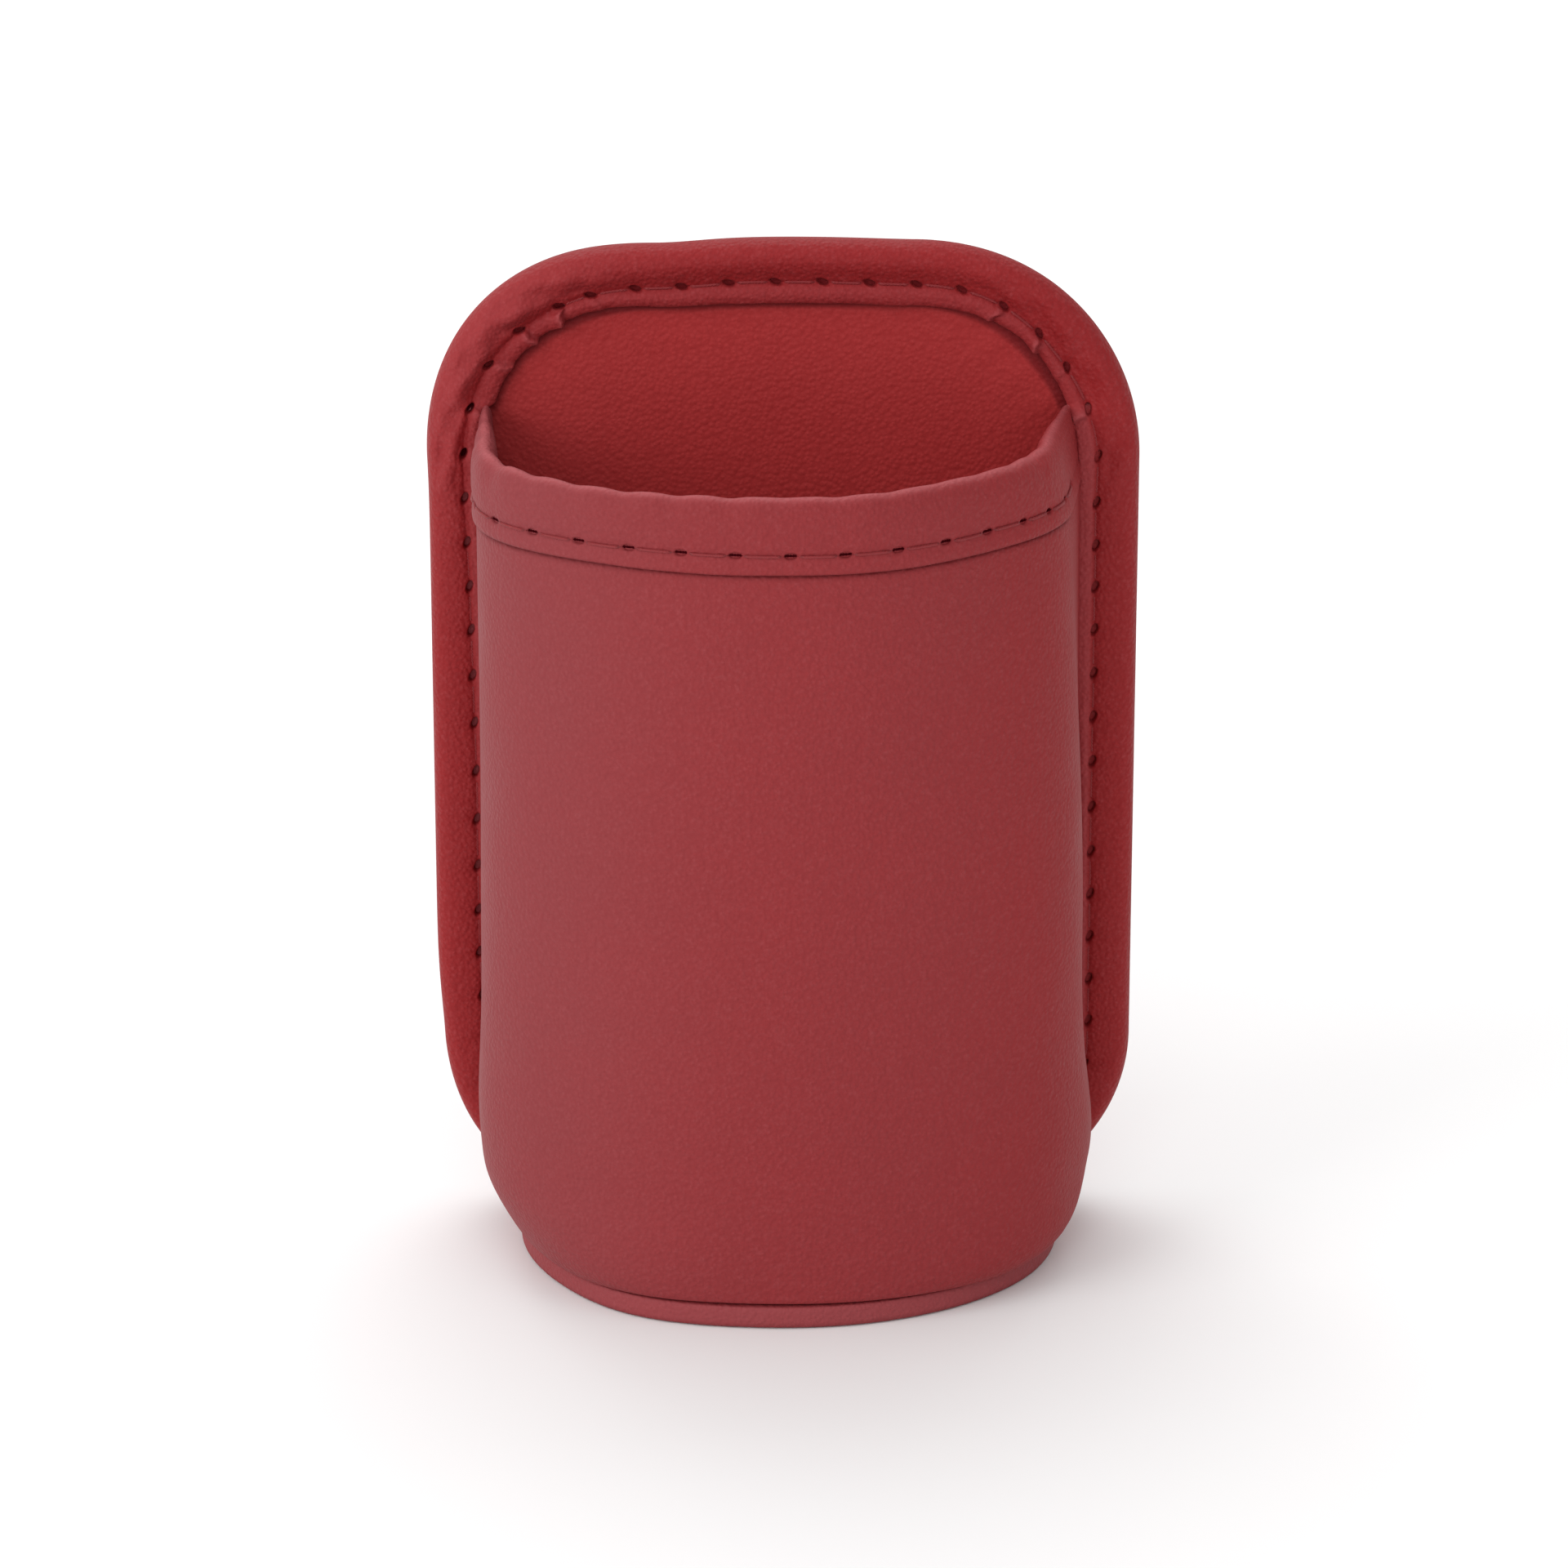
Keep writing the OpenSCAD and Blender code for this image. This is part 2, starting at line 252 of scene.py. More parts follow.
class Nodes:
    """Short calls for building the nodes of a material or a world.

    Inputs are named with _ for a space. From noise on, each call returns a node's result.
    """

    def __init__(self, owner, shader="BsdfPrincipled", output="OutputMaterial"):
        self.owner = owner
        owner.use_nodes = True
        self.tree = owner.node_tree
        self.tree.nodes.clear()
        self.shader = self.add(shader)
        self.add(output, Surface=self.shader.outputs[0])
        self.place = self.add("TexCoord").outputs["Object"]

    def fill(self, node, inputs):
        """Sets or feeds inputs of a node."""
        for label, value in inputs.items():
            put(value, node.inputs[label.replace("_", " ")])

    def set(self, **inputs):
        """Sets or feeds inputs of the shader itself."""
        self.fill(self.shader, inputs)

    def add(self, kind, **inputs):
        """Adds a shader node."""
        node = self.tree.nodes.new("ShaderNode" + kind)
        self.fill(node, inputs)
        return node

    def noise(self, scale, detail=3.0, roughness=0.5, distortion=0.0):
        """Cloudy noise, from 0 to 1."""
        n = self.add("TexNoise", Vector=self.place, Scale=scale, Detail=detail)
        self.fill(n, {"Roughness": roughness, "Distortion": distortion})
        return n.outputs[0]

    def cells(self, scale, kind="SMOOTH_F1"):
        """Rounded cells, on coordinates that noise pushes about a little."""
        wobble = self.add("TexNoise", Vector=self.place, Scale=scale * 0.6, Detail=1.0)
        warped = self.add("VectorMath")
        warped.operation = "MULTIPLY_ADD"
        reach = (0.35 / scale,) * 3
        for value, socket in zip((wobble.outputs["Color"], reach, self.place), warped.inputs):
            put(value, socket)
        n = self.add("TexVoronoi", Vector=warped.outputs[0], Scale=scale)
        n.feature = kind
        if kind == "SMOOTH_F1":
            n.inputs["Smoothness"].default_value = 0.6
        return n.outputs["Distance"]

    def attribute(self, name):
        """The value that make_piece stored at each point under this name."""
        n = self.add("Attribute")
        n.attribute_name = name
        return n.outputs["Fac"]

    def spread(self, value, from_low, from_high, to_low, to_high):
        """Maps one range of values to another."""
        n = self.add("MapRange")
        for number, socket in zip((value, from_low, from_high, to_low, to_high), n.inputs):
            put(number, socket)
        return n.outputs[0]

    def mix(self, share, a, b):
        """From colour a to colour b by a share."""
        n = self.add("Mix")
        n.data_type = "RGBA"
        for index, value in ((0, share), (6, a), (7, b)):
            put(value, n.inputs[index])
        return n.outputs[2]

    def bump(self, height, distance, strength=1.0, **under):
        """Relief, over the relief given as Normal if there is one."""
        n = self.add("Bump", Height=height, Distance=distance, Strength=strength, **under)
        return n.outputs[0]


def material_nodes(name):
    """Nodes of a new material."""
    return Nodes(bpy.data.materials.new(name))


PAINTED_SHEEN = (0.220, 0.070, 0.078)  # colour of painted sheen, a pale veil of reflected light
# Painted shade: the colour put deep in holes, creases and gaps, where shadow falls
PAINTED_SHADE_COLOUR = (0.105, 0.0020, 0.0042)  # colour deep in a hole or crease
DEEP_SHADE = 0.28  # below this shade a face is in the crease itself


def leather(name, main, deep, pale, grain=0.00014, cell=2300.0, roughness=0.60):
    """Full-grain leather: soft pebbles, pores and colour drift, with painted shade, light and
    sheen.
    """
    m = material_nodes(name)
    m.set(IOR=1.40, Specular_IOR_Level=0.26, Specular_Tint=(1.0, 0.88, 0.92))
    m.set(Sheen_Weight=0.01, Sheen_Roughness=0.45, Sheen_Tint=(1.0, 0.80, 0.80))
    pebbles = m.cells(cell)
    pores = m.noise(cell * 3.2, 2.0, 0.6)
    patches = m.noise(95.0, 3.0, 0.55)
    specks = m.noise(cell * 0.9, 3.0, 0.6)
    colour = m.mix(m.spread(patches, 0.30, 0.70, 0.45, 0.0), main, deep)
    colour = m.mix(m.spread(specks, 0.46, 0.76, 0.0, 0.26), colour, pale)
    # Darker between the pebbles: partly the grain's own colour, partly painted shade in its valleys
    colour = m.mix(m.spread(pebbles, 0.25, 0.70, 0.0, 0.55), colour, deep)
    # Painted sheen, painted light and painted shade, from the values stored at the points
    colour = m.mix(m.attribute("painted_sheen"), colour, PAINTED_SHEEN)
    colour = m.mix(m.attribute("painted_light"), colour, pale)
    m.set(Base_Color=m.mix(m.attribute("shade"), PAINTED_SHADE_COLOUR, colour))
    m.set(Roughness=m.spread(patches, 0.3, 0.7, roughness - 0.05, roughness + 0.07))
    fine = m.bump(pores, grain * 0.30, 0.55)
    waves = m.bump(m.noise(210.0, 2.0, 0.5), 0.00010, 0.3, Normal=fine)
    domes = m.spread(pebbles, 0.0, 1.0, 1.0, 0.0)
    m.set(Normal=m.bump(domes, grain, 0.8, Normal=waves))
    return m.owner


def hole_shade_material():
    """Painted shade for the inside of stitch holes and creases: a dark colour that takes no
    reflection.
    """
    m = material_nodes("painted_hole_shade")
    m.set(Roughness=1.0, Specular_IOR_Level=0.0)
    m.set(Base_Color=m.mix(m.noise(2500.0), (0.030, 0.0010, 0.0026), (0.058, 0.0020, 0.0046)))
    m.set(Normal=m.bump(m.noise(5000.0), 0.00004, 0.5))
    return m.owner


def thread_material():
    """Twisted red thread, with painted shade where it dives into a hole."""
    m = material_nodes("sewing_thread")
    m.set(Roughness=0.50, IOR=1.5, Specular_IOR_Level=0.45)
    m.set(Sheen_Weight=0.08, Sheen_Roughness=0.35, Sheen_Tint=(1.0, 0.75, 0.75))
    fibres = m.noise(9000.0, 2.0, 0.6)
    colour = m.mix(fibres, (0.185, 0.0090, 0.0120), (0.300, 0.0190, 0.0230))
    m.set(Base_Color=m.mix(m.attribute("shade"), PAINTED_SHADE_COLOUR, colour))
    m.set(Normal=m.bump(fibres, 0.00003, 0.7))
    return m.owner


def board_material(name, main, fleck, scale):
    """Grey board or card: pressed fibres with darker flecks."""
    m = material_nodes(name)
    m.set(Roughness=0.88, IOR=1.45, Specular_IOR_Level=0.3)
    fibres = m.noise(scale, 6.0, 0.7, 0.8)
    flecks = m.noise(scale * 4, 2.0, 0.5)
    colour = m.mix(m.spread(fibres, 0.35, 0.65, 0.0, 1.0), main, tuple(c * 0.86 for c in main))
    m.set(Base_Color=m.mix(m.spread(flecks, 0.62, 0.70, 0.0, 0.8), colour, fleck))
    m.set(Normal=m.bump(fibres, 0.00008, 0.6))
    return m.owner


def foam_material():
    """Off-white foam with open cells."""
    m = material_nodes("padding_foam")
    m.set(Roughness=0.95, IOR=1.4, Specular_IOR_Level=0.2)
    m.set(Subsurface_Weight=0.15, Subsurface_Scale=0.002)
    cells = m.cells(1800.0, "F1")
    tone = m.mix(m.noise(160.0), (0.78, 0.76, 0.68), (0.86, 0.85, 0.80))
    # Darker in each cell's hollow: painted shade in the pores
    m.set(Base_Color=m.mix(m.spread(cells, 0.0, 0.35, 0.5, 0.0), tone, (0.50, 0.47, 0.40)))
    m.set(Normal=m.bump(cells, 0.0002, 0.7))
    return m.owner


COVER = leather(
    "cover_leather", (0.288, 0.0172, 0.0188), (0.242, 0.0116, 0.0132), (0.400, 0.084, 0.092)
)
# The lining leather is brighter than the cover's: partly its own colour, partly painted light
# making up for the shade inside the cup
LINING = leather(
    "lining_leather",
    (0.405, 0.0315, 0.0321),
    (0.338, 0.0225, 0.0233),
    (0.460, 0.052, 0.054),
    grain=0.00011,
    cell=2100.0,
)
THREAD = thread_material()
HOLE_SHADE = hole_shade_material()
BOARD = board_material("grey_board", (0.42, 0.38, 0.31), (0.16, 0.13, 0.10), 900.0)
CARD = board_material("kraft_card", (0.47, 0.36, 0.23), (0.22, 0.14, 0.08), 1500.0)
FOAM = foam_material()


# ---- back panel: path of its seam

SEAM_TOP = PANEL_H - SEAM_INSET
TOP_X, TOP_Z = HALF_W - TOP_R, PANEL_H - TOP_R
LOW_X, LOW_Z = HALF_W - LOW_R, LOW_R
TOP_ARC = (TOP_R - SEAM_INSET) * math.pi / 2
LOW_ARC = (LOW_R - SEAM_INSET) * math.pi / 2
# Distances along the seam from the middle of the top to the end of each stretch
RUNS = np.cumsum([TOP_X, TOP_ARC, TOP_Z - LOW_Z, LOW_ARC, LOW_X])
SEAM_LENGTH = 2 * RUNS[-1]
STITCHES = 61
FIRST_HOLE = -0.85
EVEN_HOLES = 22  # holes each side of the top's middle before the spacing closes up
HOLE_SLANT = 0.30  # the needle cuts its holes a little askew
SPINE_STEP = 1.5
# Where the seam and the outline are out of true: middle, width and size along the seam
SEAM_SPOTS = ((-25, 8, 0.45), (32, 9, 0.70), (-47, 9, -0.45))
OUTLINE_SPOTS = ((-31, 10, 0.8), (-14, 7, -0.7), (15, 8, -0.3), (-111, 8, -0.7))


def seam_frame(s):
    """Place on the seam and outward direction, both in x-z, at a distance s along it.

    s is 0 in the middle of the top, positive towards the right.
    """
    side, a = np.sign(s) + (s == 0), np.abs(s)
    top_r, low_r = TOP_R - SEAM_INSET, LOW_R - SEAM_INSET
    turn = np.clip((a - RUNS[0]) / top_r, 0, math.pi / 2)
    low_turn = np.clip((a - RUNS[2]) / low_r, 0, math.pi / 2)
    nx, nz = np.sin(turn + low_turn), np.cos(turn + low_turn)
    x = np.where(a < RUNS[0], a, TOP_X + top_r * np.sin(turn))
    z = np.where(a < RUNS[0], SEAM_TOP, TOP_Z + top_r * np.cos(turn))
    z = np.where(a > RUNS[1], TOP_Z - (a - RUNS[1]), z)
    on_corner = a > RUNS[2]
    x = np.where(on_corner, LOW_X + low_r * np.cos(low_turn), x)
    z = np.where(on_corner, LOW_Z - low_r * np.sin(low_turn), z)
    x = np.where(a > RUNS[3], LOW_X - (a - RUNS[3]), x)
    z = np.where(a > RUNS[3], SEAM_INSET, z)
    return side * x, z, side * nx, nz


def hole_at(k):
    """Distance along the seam of stitch hole k, counted from the middle of the top.

    The stitches were sewn by hand round the corners, so their spacing drifts a little on
    each side, and they close up at the bottom.
    """
    k = np.asarray(k, float)
    count = np.abs(k)
    left = 1.3 * step(4, 5, count) - 2.3 * step(13, 19, count)
    right = 0.9 * step(7, 10, count) - 0.6 * step(10, 13, count) + 0.6 * step(15, 18, count)
    s = FIRST_HOLE + PANEL_PITCH * k + np.where(k < 0, left, right)
    edge = FIRST_HOLE + np.sign(k) * PANEL_PITCH * EVEN_HOLES + np.where(k < 0, -1.0, 0.9)
    share = np.clip((count - EVEN_HOLES) / (STITCHES / 2 - EVEN_HOLES), 0, 1)
    return np.where(count > EVEN_HOLES, mix(edge, np.sign(k) * SEAM_LENGTH / 2, share), s)


HOLE_K = np.arange(-(STITCHES // 2), STITCHES // 2 + 1)
HOLES = hole_at(HOLE_K)
HOLE_RING = np.append(HOLES, HOLES[0] + SEAM_LENGTH)


def one_round(s):
    """Brings distances past the middle of the bottom back to the left half."""
    return np.where(s > SEAM_LENGTH / 2, s - SEAM_LENGTH, s)


def all_round(count):
    """Even distances all round the seam."""
    return np.linspace(-SEAM_LENGTH / 2, SEAM_LENGTH / 2, count, endpoint=False)


def near_hole(s):
    """Distance past the nearest hole, negative before it, and that hole's index."""
    ring = np.concatenate([[HOLES[-1] - SEAM_LENGTH], HOLE_RING])
    i = np.clip(np.searchsorted(ring, s, side="right") - 1, 0, len(ring) - 2)
    before, after = ring[i], ring[i + 1]
    share = (s - before) / (after - before)
    off = np.where(share < 0.5, s - before, s - after)
    return off, np.where(share < 0.5, i, i + 1)


# Height of the pleat that starts at a hole, and how much it slants, by hole number
PLEATS = {
    -9: (0.22, 0.3), -8: (0.34, -0.25), -7: (0.30, 0.45), -6: (0.55, 0.12), -5: (0.60, -0.35),
    -4: (0.12, 0.2), 5: (0.34, -0.35), 6: (0.60, 0.35), 7: (0.12, 0.1), 8: (0.45, 0.5),
    9: (0.08, 0.2),
}
PLEAT_HEIGHT, PLEAT_SLANT = np.array(
    [PLEATS.get(k, (0.0, 0.0)) for k in (HOLE_K[-1], *HOLE_K, HOLE_K[0])]
).T


def corner_weight(s):
    """1 round the two top corners, 0 elsewhere, with soft ends."""
    return between(RUNS[0] + 2, RUNS[0] + 10, RUNS[1] + 1, RUNS[1] + 5, np.abs(s))


def low_corner_weight(s):
    """1 round the two lower corners, 0 elsewhere, with soft ends."""
    return between(RUNS[2] - 3, RUNS[2] + 4, RUNS[3] - 4, RUNS[3] + 3, np.abs(s))


def above_rim(s):
    """1 where the strip is seen above the rim, 0 beside and below the pocket."""
    _, z, _, _ = seam_frame(s)
    return step(RIM_Z - 0.6, RIM_Z + 1.0, z)


def seam_drift(s):
    """How much further in than usual the seam lies."""
    ends = step(42, 50, s) + step(-60, -80, s)
    return 0.15 + swells(s, *SEAM_SPOTS) + 0.3 * ends


def outline_drift(s):
    """How far the outline swells: fuller at the upper left, tighter at the lower left."""
    return swells(s, *OUTLINE_SPOTS)


def panel_point(s, u, w):
    """Point of the back panel at an inset u from its outside and w forward of its middle."""
    x, z, nx, nz = seam_frame(s)
    past_seam = (u - SEAM_INSET) / (STRIP_INSET - SEAM_INSET)
    near_seam = np.clip(np.minimum(u / SEAM_INSET, 1 - past_seam), 0, 1)
    out = SEAM_INSET - u - seam_drift(s) * near_seam + outline_drift(s)
    return np.stack(np.broadcast_arrays(x + nx * out, ROLL_Y - w, z + nz * out), axis=-1)


def spine(s):
    """Height on the panel's middle line that the ring at s closes in on.

    The heights are rounded, so that the two sides of a ring meet in the same points.
    """
    _, z, _, _ = seam_frame(s)
    return np.round(np.clip(z, PANEL_H * 0.36, PANEL_H * 0.64) / SPINE_STEP) * SPINE_STEP


def panel_ring(s, u, w, share):
    """Ring of points w forward, at a share of the way from inset u in to the middle line."""
    start = panel_point(s, u, 0.0)
    middle = np.stack([np.zeros_like(s), np.full_like(s, ROLL_Y), spine(s)], axis=-1)
    ring = mix(start, middle, share)
    ring[:, 1] = ROLL_Y - w
    return ring


# ---- back panel: wrapped leather

CLOSING_INSET = 6.2  # where the section ends and the flat rear starts
# Section of the cover as (inset, forward), from the rear round the roll to the strip's
# free edge, then back along its inner side
REAR_TURN = [(6.2, -3.0), (5.0, -3.0), (4.1, -2.98), (3.2, -2.96), (1.9, -2.72)]
REAR_TURN += [(0.85, -2.1), (0.2, -1.1)]
TOP_ROLL = [(0.0, 0.1), (0.09, 0.95), (0.42, 1.8), (1.05, 2.42), (1.80, 2.62)]
TOP_ROLL += [(2.6, 2.44), (3.35, 2.05)]
SIDE_ROLL = [(0.0, 0.1), (0.09, 0.95), (0.44, 1.74), (1.05, 2.24), (1.80, 2.46)]
SIDE_ROLL += [(2.6, 2.55), (3.4, 2.54)]
TOP_STRIP = [(3.80, 1.84), (4.1, 1.72), (4.35, 1.80), (4.8, 1.96), (5.5, 2.05)]
TOP_STRIP += [(6.1, 2.0), (6.52, 1.84)]
TOP_FREE = [(6.7, 1.66), (6.68, 1.50), (6.45, 1.40), (5.6, 1.30), (4.6, 1.12)]
SIDE_STRIP = [(3.84, 2.46), (4.1, 2.38), (4.3, 2.43), (4.6, 2.50), (4.95, 2.54)]
SIDE_STRIP += [(5.25, 2.48), (5.45, 2.34)]
SIDE_FREE = [(5.58, 2.12), (5.60, 1.92), (5.50, 1.76), (5.0, 1.68), (4.4, 1.62)]
INNER_TURN = [(3.7, 1.30), (3.1, 1.78), (2.3, 2.10), (1.5, 2.02), (0.95, 1.4)]
INNER_TURN += [(0.72, 0.5), (0.74, -0.7)]
INNER_REAR = [(1.15, -1.7), (2.1, -2.2), (3.4, -2.3), (5.0, -2.3), (6.2, -2.3)]
PER = 5  # rows made from each point of a section


def cover_section(top):
    """Section of the cover where the strip is seen above the rim, or beside the pocket."""
    seen = TOP_ROLL + TOP_STRIP + TOP_FREE if top else SIDE_ROLL + SIDE_STRIP + SIDE_FREE
    return smooth_line(REAR_TURN + seen + INNER_TURN + INNER_REAR, PER)


# Rows of the section where the front of the roll starts and where the strip's face ends
FRONT_START = len(REAR_TURN) * PER
FACE_END = FRONT_START + (len(TOP_ROLL) + len(TOP_STRIP)) * PER
STRIP_END = FACE_END + len(TOP_FREE) * PER


def pit(along, across, long, wide):
    """1 in the middle of an oval stitch hole, 0 outside it."""
    return 1 - step(0.62, 1.15, np.sqrt((along / long) ** 2 + (across / wide) ** 2))


def pleat(s, inward):
    """Height of a pleat in the strip, and how far past its nose the point is.

    A pleat swells slowly towards its nose and falls off behind it into a crease.
    """
    off, nearest = near_hole(s)
    past = off - PLEAT_SLANT[nearest] * inward - 0.10 * np.sin(3.1 * inward + nearest)
    swell = np.clip(1 + past / 2.1, 0, 1) ** 1.6
    fall = 1 - 1.2 * step(0.0, 0.60, past) + 0.2 * step(0.6, 1.7, past)
    return PLEAT_HEIGHT[nearest] * np.where(past < 0, swell, fall), past


def roll_relief(s, off, nearest, outward):
    """Height of the gathers and soft wrinkles on the roll, outward of the seam."""
    firm = 1 + 0.35 * uneven(nearest, 1)
    # Gathers fan outwards from the holes and fade towards the crest
    fan = off + outward * (0.30 + 0.45 * uneven(nearest, 2))
    gather = bell(fan, 0.45 + 0.34 * outward) * between(0.0, 0.7, 1.0, 3.2, outward)
    depth = 0.02 + mix(0.34, 0.18, s > 0) * corner_weight(s) + 0.16 * low_corner_weight(s)
    height = -depth * firm * gather
    slow = wander(s, 23.0, 1.3) * between(0.3, 1.5, 2.5, 4.0, outward)
    # Two slanting sets of ripples cross at the top corners
    ripple = np.sin(2 * np.pi * (s / 8.3 + outward / 3.4) + 1.0)
    ripple = ripple + 0.6 * np.sin(2 * np.pi * (s / 4.7 - outward / 5.2) + 2.6)
    ripple = ripple * between(0.2, 1.2, 2.2, 3.7, outward)
    return height + 0.05 * slow + mix(0.20, 0.13, s > 0) * corner_weight(s) * ripple


def front_relief(s, u):
    """Height to add to the cover's front, its painted shade and painted highlight, at distance s
    and inset u.
    """
    off, nearest = near_hole(s)
    firm = 1 + 0.35 * uneven(nearest, 1)
    across = u - SEAM_INSET
    outward, inward = np.maximum(-across, 0), np.maximum(across, 0)
    # The needle pulls a dimple at each hole
    height = -0.14 * firm * bell(off, 0.95) * bell(across, 0.8)
    # The roll is wide and flat at the upper left
    height += 0.72 * bell(s + 34, 13) * bell(across + 1.2, 1.3)
    height += roll_relief(s, off, nearest, outward)
    folded, past = pleat(s, inward)
    on_strip = step(0.05, 0.8, inward)
    height += folded * on_strip + 0.035 * wander(s, 9.0, 0.4) * step(0.3, 0.9, inward)
    sharp = np.clip(PLEAT_HEIGHT[nearest] / 0.5, 0, 1) * on_strip
    hole = pit(off, across - HOLE_SLANT * off, 0.64, 0.36)
    # Painted shade in the holes, in the crease behind each pleat's nose and along the seam line
    tone = (1 - 0.97 * hole) * (1 - 0.42 * sharp * bell(past - 0.48, 0.24))
    tone = tone * (1 - 0.16 * bell(across, 0.30))
    # The last value is painted highlight on each pleat's nose
    return height - 0.85 * hole, tone, 0.30 * sharp * bell(past + 0.12, 0.28)


def strip_reach(s, u, free):
    """Moves the strip's free edge in and out a little, with the pleats."""
    folded, _ = pleat(s, STRIP_INSET - SEAM_INSET)
    amount = 0.55 * folded - 0.16 + 0.07 * wander(s, 13.0, 2.0)
    amount = amount + swells(s, (-17, 7, -0.40), (27, 6, -0.30))
    # The left end of the upper strip is wider
    amount = amount + 0.7 * step(-37, -44, s) * step(-54, -48, s)
    # Where the pocket's right end is pushed in, the strip beside it is wider
    beside = 0.9 * step(85, 60, s) * (s > 0)
    return u + mix(beside, amount, above_rim(s)) * free


def cover_columns():
    """Distances along the seam, close together at the stitch holes."""
    parts = []
    for a, b in zip(HOLE_RING[:-1], HOLE_RING[1:]):
        t = np.linspace(0, 1, 26, endpoint=False)
        parts.append(mix(a, b, close_at_ends(t)))
    return one_round(np.concatenate(parts))


def make_back_cover():
    """Leather of the back: flat rear, rolled edge and the strip that shows inside the seam."""
    s = cover_columns()
    top = above_rim(s)
    plain, no_painted_light = np.ones_like(s), np.zeros_like(s)
    rows = []
    for share in np.linspace(1, 0, 9)[:-1]:
        rows.append((panel_ring(s, CLOSING_INSET, -ROLL_HALF, share), plain, no_painted_light))
    for n, (a, b) in enumerate(zip(cover_section(True), cover_section(False))):
        u, w = mix(b[0], a[0], top), mix(b[1], a[1], top)
        tone, pale = plain, no_painted_light
        free = step(4.6, mix(5.5, 6.2, top), u)
        if n < FRONT_START:
            # On the rear the stitches lie in a shallow groove
            off, _ = near_hole(s)
            hole = pit(off, u - SEAM_INSET - HOLE_SLANT * off, 0.58, 0.32)
            w = w + 0.55 * hole + 0.10 * bell(u - SEAM_INSET, 0.45)
            # Painted shade in the holes
            tone = 1 - 0.95 * hole
        elif n <= FACE_END + 2 * PER:
            height, tone, lift = front_relief(s, u)
            hold = step(0.4, 1.4, u) * (1 - 0.8 * step(FACE_END + PER, FACE_END + 2 * PER, n))
            w = w + height * hold
            tone = mix(1.0, tone, hold)
            # Painted light on the strip, more on the right, and on the roll at the upper left; lift
            # is the painted highlight on the pleats' noses
            strip_painted_light = mix(mix(0.22, 0.34, s > 0), 0.12, top) * step(4.2, 4.8, u)
            pale = lift + strip_painted_light + 0.16 * bell(s + 33, 15) * step(4.0, 3.0, u)
            u = strip_reach(s, u, free)
        elif n < STRIP_END:
            u = strip_reach(s, u, free)
            # Painted shade on the strip's underside, in the gap under its free edge
            tone = 0.3 * plain
        rows.append((panel_point(s, u, w), tone, pale))
    for share in (0.5, 1.0):
        ring = panel_ring(s, CLOSING_INSET, -ROLL_HALF + LEATHER_T, share)
        rows.append((ring, plain, no_painted_light))
    points, shade, painted_light = zip(*rows)
    looks = {"shade": shade, "painted_light": painted_light}
    return ring_piece("back_cover_leather", points, COVER, **looks)


# ---- sewn thread

PLIES, SIDES = 3, 6  # plies of the thread, and sides of each ply


def twisted(path, radius=0.085, lay=1.05, start=0.0):
    """Points and faces of a twisted thread of several plies along a path."""
    path = np.asarray(path, float)
    along = np.concatenate([[0], np.cumsum(np.linalg.norm(np.diff(path, axis=0), axis=1))])
    forward = np.gradient(path, axis=0)
    forward /= np.linalg.norm(forward, axis=1)[:, None] + 1e-12
    side = np.cross(forward, [0.31, 0.22, 0.93])
    side /= np.linalg.norm(side, axis=1)[:, None]
    up = np.cross(side, forward)
    points, faces = [], []
    for ply in range(PLIES):
        angle = 2 * np.pi * (along / lay + ply / PLIES) + start
        centre = path + radius * (np.cos(angle)[:, None] * side + np.sin(angle)[:, None] * up)
        a = np.linspace(0, 2 * np.pi, SIDES, endpoint=False)
        ring = np.cos(a)[None, :, None] * side[:, None] + np.sin(a)[None, :, None] * up[:, None]
        tube = centre[:, None] + radius * 1.08 * ring
        base = len(points) * len(path) * SIDES
        faces += (grid_faces(len(path), SIDES, close_cols=True) + base).tolist()
        faces.append((base + np.arange(SIDES)[::-1]).tolist())
        faces.append((base + (len(path) - 1) * SIDES + np.arange(SIDES)).tolist())
        points.append(tube.reshape(-1, 3))
    return np.vstack(points), faces


def make_thread(name, paths):
    """One piece of thread, with a twisted length for each stitch."""
    points, faces, shade, count = [], [], [], 0
    for n, path in enumerate(paths):
        p, f = twisted(path, start=n * 1.7)
        faces += [[v + count for v in face] for face in f]
        points.append(p)
        count += len(p)
        along = np.tile(np.repeat(np.linspace(0, 1, len(path)), SIDES), PLIES)
        # Painted shade at both ends, where it goes down into a hole
        shade.append(step(0.13, 0.25, np.minimum(along, 1 - along)))
    return make_piece(name, np.vstack(points), faces, THREAD, np.concatenate(shade))


def stitch_drop(t, deep):
    """How far a stitch dives below the surface at a share t of its length."""
    edge = np.minimum(t, 1 - t)
    return deep * (1 - step(0.09, 0.24, edge))


def panel_stitches(rear):
    """Paths of the panel seam's stitches, on its rear or on its front."""
    t = np.linspace(0, 1, 21)
    paths = []
    for n, (a, b) in enumerate(zip(HOLE_RING[:-1], HOLE_RING[1:])):
        s = one_round(mix(a, b, t))
        u = SEAM_INSET + 0.05 * np.sin(np.pi * t) * uneven(n, 3)
        if rear:
            w = -ROLL_HALF + 0.04 + stitch_drop(t, 0.6)
        else:
            valley = mix(SIDE_STRIP[1][1], TOP_STRIP[1][1], above_rim(s))
            w = valley + mix(-0.10, 0.03, above_rim(s)) - stitch_drop(t, 0.95)
        paths.append(panel_point(s, u, w))
    return paths


# ---- lining of the panel


